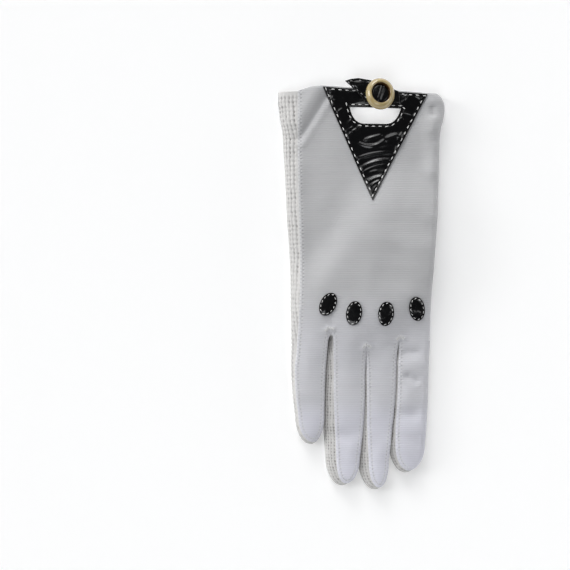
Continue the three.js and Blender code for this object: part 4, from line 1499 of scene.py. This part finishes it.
# Painted light: start and end heights and a tone by which the fingers and fingertips are painted lighter and
# a little bluer, standing in for more light on them
FINGER_PAINTED_LIGHT = [
    (8, -42, (1.2, 1.2, 1.24)),
    (-62, -84, (1.05, 1.05, 1.095)),
    (-88, -114, (1.12, 1.12, 1.13)),
]
RIBBED = cloth_material("ribbed_cloth", 1.05, 1.1, 0.45, (0.535, 0.536, 0.546), (0.418, 0.418, 0.428),
                        FINGER_PAINTED_LIGHT)
PALM = palm_material()
PLAIN = cloth_material("thumb_cloth", 0.9, 0.25, 0.35, (0.78, 0.78, 0.78), (0.70, 0.70, 0.70))
MESH = mesh_material()
PATENT_BLACK = patent_material()
THREAD = thread_material("white_thread", (0.72, 0.72, 0.71), (0.90, 0.90, 0.89))
DART_THREAD = thread_material("dart_thread", (0.60, 0.60, 0.60), (0.76, 0.76, 0.76))
CLOTH_THREAD = thread_material("cloth_thread", (0.54, 0.54, 0.55), (0.68, 0.68, 0.69))
TAN = tan_material()


# The cloth pieces

def hand_side(edge):
    """An edge of the hand from the finger roots up to the cuff."""
    top = cuff_edge(edge(HAND[0]["y"]))
    return [(edge(y), y) for y in (mix(ROOT_Y["index"], top, i / 20) for i in range(21))]


def palm_area(hole):
    """Flat area of the palm. Its edge on the thumb side lies inside the fold of the back."""
    return cut_area(outlines["palm"] + hand_side(lambda y: fold_edge(y) - FLANGE - SEAM_GAP), [hole])


def back_area(keyhole):
    """Flat area of the back, with what turns round the thumb side."""
    index_side = [row["right"] for row in reversed(strips["back"][3])]
    wrap = WRAP["hand"] * (HAND[0]["y"] - ROOT_Y["index"])
    wrap += WRAP["index"] * (ROOT_Y["index"] - FINGERS[3]["tip"][1])
    return cut_area(outlines["back"] + index_side + hand_side(fold_edge), [keyhole], wrap)


def thumb_area(hole):
    """Flat area of the thumb: two plies and the side between them, less the mouth."""
    ply = thumb_ring(0)
    around = sum((a - b).length for a, b in zip(ply, [*ply[1:], ply[0]]))
    side = around * (THUMB["root_height"] + THUMB["tip_height"]) / 2
    return cut_area(ply, [hole], outline_area(ply) + side)


def seam_reader(side):
    """Reads the place along a sewn edge and the distance from it. Darts have no needle holes around them."""
    def read(x, y, z):
        near_dart = any(math.hypot(x - dart["x1"], y - dart["y1"]) < DART["free"] for dart in DARTS)
        return FAR_FROM_SEAMS if near_dart and side == "back" else (*seam_place[side](x, y), 0)

    return read


def painted_glow_share(x, y, z):
    """How strongly the palm's inner side glows under the keyhole: painted light standing in for the light
    that falls through it.
    """
    inner_side = ease(z - palm_bottom(x, y), CLOTH * 0.4, CLOTH * 0.6)
    away = math.hypot((x - keyhole_middle.x) / PAINTED_GLOW["wide"], y - keyhole_middle.y)
    return inner_side * (1 - ease(away, *PAINTED_GLOW["fade"]))


def sheet_piece(obj, material, slot, node, area, window=None, kept=()):
    thicken(obj, CLOTH)
    if window:
        cut_through(obj, window)
    round_edges(obj, 0.3)
    for name, kind, read in kept:
        add_attribute(obj, name, kind, read)
    finish(obj, material, slot, node)
    return obj


keyhole = keyhole_outline()
keyhole_middle = sum(keyhole, Vector((0, 0))) / len(keyhole)
thumb_hole = ellipse(THUMB_HOLE["centre"], THUMB_HOLE["long"], THUMB_HOLE["wide"], THUMB_TURN)

palm = new_object("palm_cloth", *palm_surface())
face_up(palm)
# The palm keeps its painted glow under the keyhole at its points
sheet_piece(palm, PALM, "plain_cloth", "palm_panel", palm_area(thumb_hole),
            thumb_hole, [("painted_keyhole_glow", "FLOAT", painted_glow_share), ("seam", "FLOAT_VECTOR", seam_reader("palm"))])

back = new_object("back_cloth", *back_surface())
face_up(back)
sheet_piece(back, RIBBED, "ribbed_cloth", "back_panel", back_area(keyhole),
            keyhole, [("seam", "FLOAT_VECTOR", seam_reader("back"))])

thumb = new_object("thumb_pouch", *thumb_surface())
sheet_piece(thumb, PLAIN, "plain_cloth", "thumb", thumb_area(thumb_hole),
            kept=[("seam", "FLOAT_VECTOR", lambda x, y, z: FAR_FROM_SEAMS)])

WALLS = [
    ("side_mesh", side_path(), COARSE_MESH, "side_strip"),
    *((f"mesh_{a['name']}_{b['name']}", fourchette_path(i), FINE_MESH, f"fourchette_{a['name']}_{b['name']}")
      for i, (a, b) in enumerate(zip(FINGERS, FINGERS[1:]))),
    ("index_side_mesh", index_side_path(), FINE_MESH, "index_side_strip"),
]
for name, path, mesh, node in WALLS:
    wall = mesh_wall(name, path, mesh)
    thicken(wall, MESH_CLOTH, -1)
    finish(wall, MESH, "eyelet_mesh", node)
    flat, area = wall_cut(path)

# The patent pieces
yoke = patch_piece("patent_triangle", [Vector(p) for p in YOKE], [keyhole], patent_top, YOKE_CLOTH)
finish(yoke, PATENT_BLACK, "black_patent", "patent_yoke")
cut_area(YOKE, [keyhole])

strap = patch_piece("strap_end", [Vector(p) for p in STRAP_END], [], strap_top, STRAP_CLOTH)
finish(strap, PATENT_BLACK, "black_patent", "strap_tab")
cut_area(STRAP_END)


# The button, seated a little above the strap and sinking into it where it leans

SEAT = strap_top(BUTTON["x"], BUTTON["y"]) + 0.3


def turned(name, section, closed):
    """A piece turned around the button's axis: a circle extruded and resized along its section."""
    deselect_all()
    (first_radius, first_height), *others = [(radius, SEAT + height) for radius, height in section]
    centre = place((BUTTON["x"], BUTTON["y"], 0))
    bpy.ops.mesh.primitive_circle_add(vertices=BUTTON_SIDES, radius=first_radius * MM,
                                      location=centre + Vector((0, 0, first_height * MM)))
    obj = bpy.context.active_object
    obj.name = name
    bpy.ops.object.transform_apply(location=True)
    bpy.ops.object.mode_set(mode="EDIT")
    radius, height = first_radius, first_height
    for next_radius, next_height in others:
        rise = (next_height - height) * MM
        bpy.ops.mesh.extrude_region_move(TRANSFORM_OT_translate={"value": (0, 0, rise)})
        scale = next_radius / radius
        bpy.ops.transform.resize(value=(scale, scale, 1), center_override=centre)
        radius, height = next_radius, next_height
    if not closed:
        bpy.ops.mesh.merge(type="CENTER")
    bpy.ops.mesh.select_all(action="SELECT")
    bpy.ops.mesh.remove_doubles(threshold=1e-6)
    bpy.ops.mesh.normals_make_consistent(inside=False)
    bpy.ops.object.mode_set(mode="OBJECT")
    return obj


def lean_button(obj):
    """Tips a part of the button over: its upper side sinks into the strap."""
    pivot = place((BUTTON["x"], BUTTON["y"], SEAT))
    axis = Vector((0, 0, 1)).cross(LEAN["towards"]).normalized()
    tip = Matrix.Rotation(LEAN["angle"], 4, axis)
    lean = tip @ Matrix.Diagonal(LEAN["stretch"])
    obj.data.transform(Matrix.Translation(pivot + LEAN["slide"] * MM) @ lean @ Matrix.Translation(-pivot))


def ring_inside(x, y, z):
    """Marks the inside of the ring, which is darker."""
    return 1 - ease(math.hypot(x - BUTTON["x"], y - BUTTON["y"]), *BUTTON["inside"])


def crease_button(obj):
    """Raises the creases of the button's centre, which die out at its rim and grow weaker along their way."""
    middle = place((BUTTON["x"], BUTTON["y"], SEAT))
    for v in obj.data.vertices:
        at = (v.co - middle) / MM
        rim = 1 - ease(at.xy.length, *BUTTON["creased"])
        for crease in BUTTON_CREASES:
            along, away = from_line(at.xy, *ends(crease))
            v.co.z += crease["height"] * rim * (1 - 0.55 * along) * bell(away, crease["width"]) * MM


ring = turned("button_rim", RING_SECTION, closed=True)
apply_modifier(ring, "SUBSURF", levels=1, render_levels=1)
add_attribute(ring, "inside", "FLOAT", ring_inside)
lean_button(ring)
finish(ring, TAN, "tan_plastic", "button_ring")
centre_piece = turned("button_patent", CENTRE_SECTION, closed=False)
apply_modifier(centre_piece, "SUBSURF", levels=2, render_levels=2)
crease_button(centre_piece)
lean_button(centre_piece)
finish(centre_piece, PATENT_BLACK, "black_patent", "button_centre")


def oval_piece(oval, finger):
    """A patent oval: a filled circle, drawn in ring by ring, raised and laid on the cloth."""
    deselect_all()
    centre = place((oval["x"], oval["y"], 0))
    bpy.ops.mesh.primitive_circle_add(vertices=OVAL_SIDES, radius=1 * MM, fill_type="NGON")
    obj = bpy.context.active_object
    obj.name = f"oval_{finger['name']}"
    bpy.ops.object.mode_set(mode="EDIT")
    for width in OVAL_INSETS:
        bpy.ops.mesh.inset(thickness=width * MM)
    bpy.ops.mesh.merge(type="CENTER")
    bpy.ops.mesh.select_all(action="SELECT")
    bpy.ops.transform.resize(value=(OVAL["wide"], OVAL["high"], 1), center_override=(0, 0, 0))
    bpy.ops.object.mode_set(mode="OBJECT")
    spin = Matrix.Rotation(math.radians(oval["turn"]), 4, "Z")
    creases = [crease for crease in OVAL_CREASES if crease["finger"] == finger["name"]]
    for v in obj.data.vertices:
        at = spin @ v.co + centre
        table_at = (at - ORIGIN) / MM
        level = back_top(table_at.x, table_at.y)
        rim = 1 - math.hypot(v.co.x / OVAL["wide"], v.co.y / OVAL["high"]) / MM
        puff = PATENT + OVAL["puff"] * ease(rim, 0, 0.3)
        dip = -OVAL["dip"] * bell(rim - OVAL["dip_at"], OVAL["dip_width"])
        wave = 0.12 * noise.noise(Vector((table_at.x / 3.6, table_at.y / 3.0, 7)))
        for crease in creases:
            away = row_distance(table_at.x - oval["x"], table_at.y - oval["y"], crease)
            wave += crease["height"] * bell(away, crease["width"])
        v.co = Vector((at.x, at.y, ORIGIN.z + (level + puff + dip + wave * ease(rim, 0.1, 0.3)) * MM))
    face_up(obj)
    thicken(obj, OVAL["cloth"], -1)
    round_edges(obj, 0.2)
    return finish(obj, PATENT_BLACK, "black_patent", f"knuckle_oval_{finger['name']}")


ovals = [oval_piece(oval, finger) for oval, finger in zip(OVALS, FINGERS)]


# Stitches

def between_needle_holes(side, read, up):
    """Places midway between the holes of the topstitch, all along a panel's sewn edge."""
    points = resampled(outlines[side], PATH_STEP)
    places = []
    for k in range(int((len(points) - 8) * PATH_STEP / NEEDLE["pitch"])):
        i = round((k + 0.5) * NEEDLE["pitch"] / PATH_STEP)
        heading = (points[i + 2] - points[max(i - 2, 0)]).normalized()
        at = points[i] + NEEDLE["topstitch"] * Vector((-heading.y, heading.x))
        hit, normal = read(at.x, at.y, up)
        _, from_edge = seam_place[side](at.x, at.y)
        if hit and abs(normal.z) > LEAST_LEVEL and from_edge > 0.85 * NEEDLE["topstitch"]:
            places.append((hit, heading.to_3d(), normal))
    return places


def dart_places(read):
    """Places of the stitches that fan out over the darts, each across its dart's line."""
    places = []
    for dart in DARTS:
        fan = resampled([(dart["x0"], dart["y0"]), (dart["x1"], dart["y1"]), (dart["x2"], dart["y2"])], 0.1)
        for k in range(DART["stitches"]):
            i = round(k * (len(fan) - 3) / (DART["stitches"] - 1)) + 1
            across = (fan[i + 1] - fan[i - 1]).normalized()
            hit, normal = read(fan[i].x, fan[i].y)
            places.append((hit, Vector((-across.y, across.x, 0)), normal))
    return places


def shrunk(outline, inset):
    """A closed outline drawn in by some distance, or out by a negative one. Its points run anticlockwise."""
    points = [Vector(p) for p in outline]
    result = []
    for before, at, after in zip([points[-1], *points[:-1]], points, [*points[1:], points[0]]):
        a, b = (at - before).normalized(), (after - at).normalized()
        side = (Vector((-a.y, a.x)) + Vector((-b.y, b.x))).normalized()
        lean = max(0.25, side.dot(Vector((-a.y, a.x))))
        result.append(at + side * inset / lean)
    return result


def triangle_places(read):
    """Places of the stitches inside the triangle's three sides and round its keyhole."""
    row = shrunk(YOKE, INSET["triangle"])
    places = []
    for start, end in zip(row, [*row[1:], row[0]]):
        places += along_path([start, end], PITCH["triangle"], read)[:-1]
    return places + along_path(shrunk(keyhole, INSET["keyhole"]), PITCH["keyhole"], read, closed=True)


def strap_places(read):
    return [spot for name, row in STRAP_ROWS.items() for spot in along_path(row, PITCH[name], read)]


def oval_places(oval, read):
    long, wide = OVAL["wide"] - INSET["oval"], OVAL["high"] - INSET["oval"]
    row = ellipse((oval["x"], oval["y"]), long, wide, math.radians(oval["turn"]))
    return along_path(row, PITCH["oval"], read, closed=True)


shapes = {name: stitch_shape(*size) for name, size in STITCHES.items()}
read_back = surface_of(back)
stitch_row("back_stitches", shapes["seam"], between_needle_holes("back", read_back, 1), CLOTH_THREAD)
stitch_row("palm_stitches", shapes["seam"], between_needle_holes("palm", surface_of(palm), -1), CLOTH_THREAD)
stitch_row("dart_stitches", shapes["dart"], dart_places(read_back), DART_THREAD)
stitch_row("triangle_stitches", shapes["bold"], triangle_places(surface_of(yoke)), THREAD)
stitch_row("strap_stitches", shapes["small"], strap_places(surface_of(strap)), CLOTH_THREAD)
for oval, piece, finger in zip(OVALS, ovals, FINGERS):
    places = oval_places(oval, surface_of(piece))
    stitch_row(f"oval_stitches_{finger['name']}", shapes["oval"], places, THREAD)


# Floor, backdrop, light and camera

def stage_piece(name, colour, glow):
    """Makes the last primitive a part of the studio."""
    obj = bpy.context.active_object
    obj.name = name
    material, w, shader = new_material(name)
    w.set(shader, Base_Color=(colour, colour, colour, 1), Roughness=0.9,
          Emission_Color=(1, 1, 1, 1), Emission_Strength=glow)
    obj.data.materials.append(material)


bpy.ops.mesh.primitive_plane_add(size=14, location=(0, 0, -0.0003))
stage_piece("floor", 0.9, 0.215)
bpy.ops.mesh.primitive_cylinder_add(vertices=64, radius=6.5, depth=1.6, end_fill_type="NOTHING",
                                    location=(0, 0, 0.79))
stage_piece("backdrop", 0.6, 0.85)


def window_light(name, direction, spread, share, colour=(1, 1, 1)):
    """A wide soft light from far away, which gives the floor a share of its brightness."""
    towards = Vector(direction).normalized()
    light = bpy.data.lights.new(name, "SUN")
    light.angle = math.radians(spread)
    light.energy = math.pi * share / towards.z
    light.color = colour
    obj = add_object(name, light)
    obj.location = towards * 2
    obj.rotation_euler = towards.to_track_quat("Z", "Y").to_euler()


window_light("window_left", (-1.5, 0.35, 1.5), 32, 0.095)
window_light("window_low_left", (-1.9, 0.5, 0.62), 26, 0.135)
window_light("window_back", (-0.25, 1.6, 1.5), 32, 0.14)
window_light("window_low_back", (-0.5, 1.9, 0.62), 26, 0.165)
window_light("window_front", (-0.35, -1.1, 1.8), 30, 0.155, (0.96, 0.98, 1.0))
window_light("window_right", (1.7, -0.1, 1.4), 32, 0.085)

world = bpy.data.worlds.new("studio")
bpy.context.scene.world = world
world.use_nodes = True
Wiring(world.node_tree).set(world.node_tree.nodes["Background"], Color=(0.95, 0.97, 1.0, 1), Strength=0.06)

# The photograph is taken from straight above, a little to the left of the glove
PHOTO_SIDE = 570
MM_PER_PIXEL = 0.585
VIEW_CENTRE = (-44.8, -0.9, 9)
VIEW_HEIGHT = 800
camera_data = bpy.data.cameras.new("camera")
camera_data.sensor_width = 36
camera_data.lens = camera_data.sensor_width * VIEW_HEIGHT / (PHOTO_SIDE * MM_PER_PIXEL)
camera = add_object("camera", camera_data)
camera.location = place(VIEW_CENTRE) + Vector((0, 0, VIEW_HEIGHT * MM))
bpy.context.scene.camera = camera
bpy.context.scene.view_settings.view_transform = "Standard"
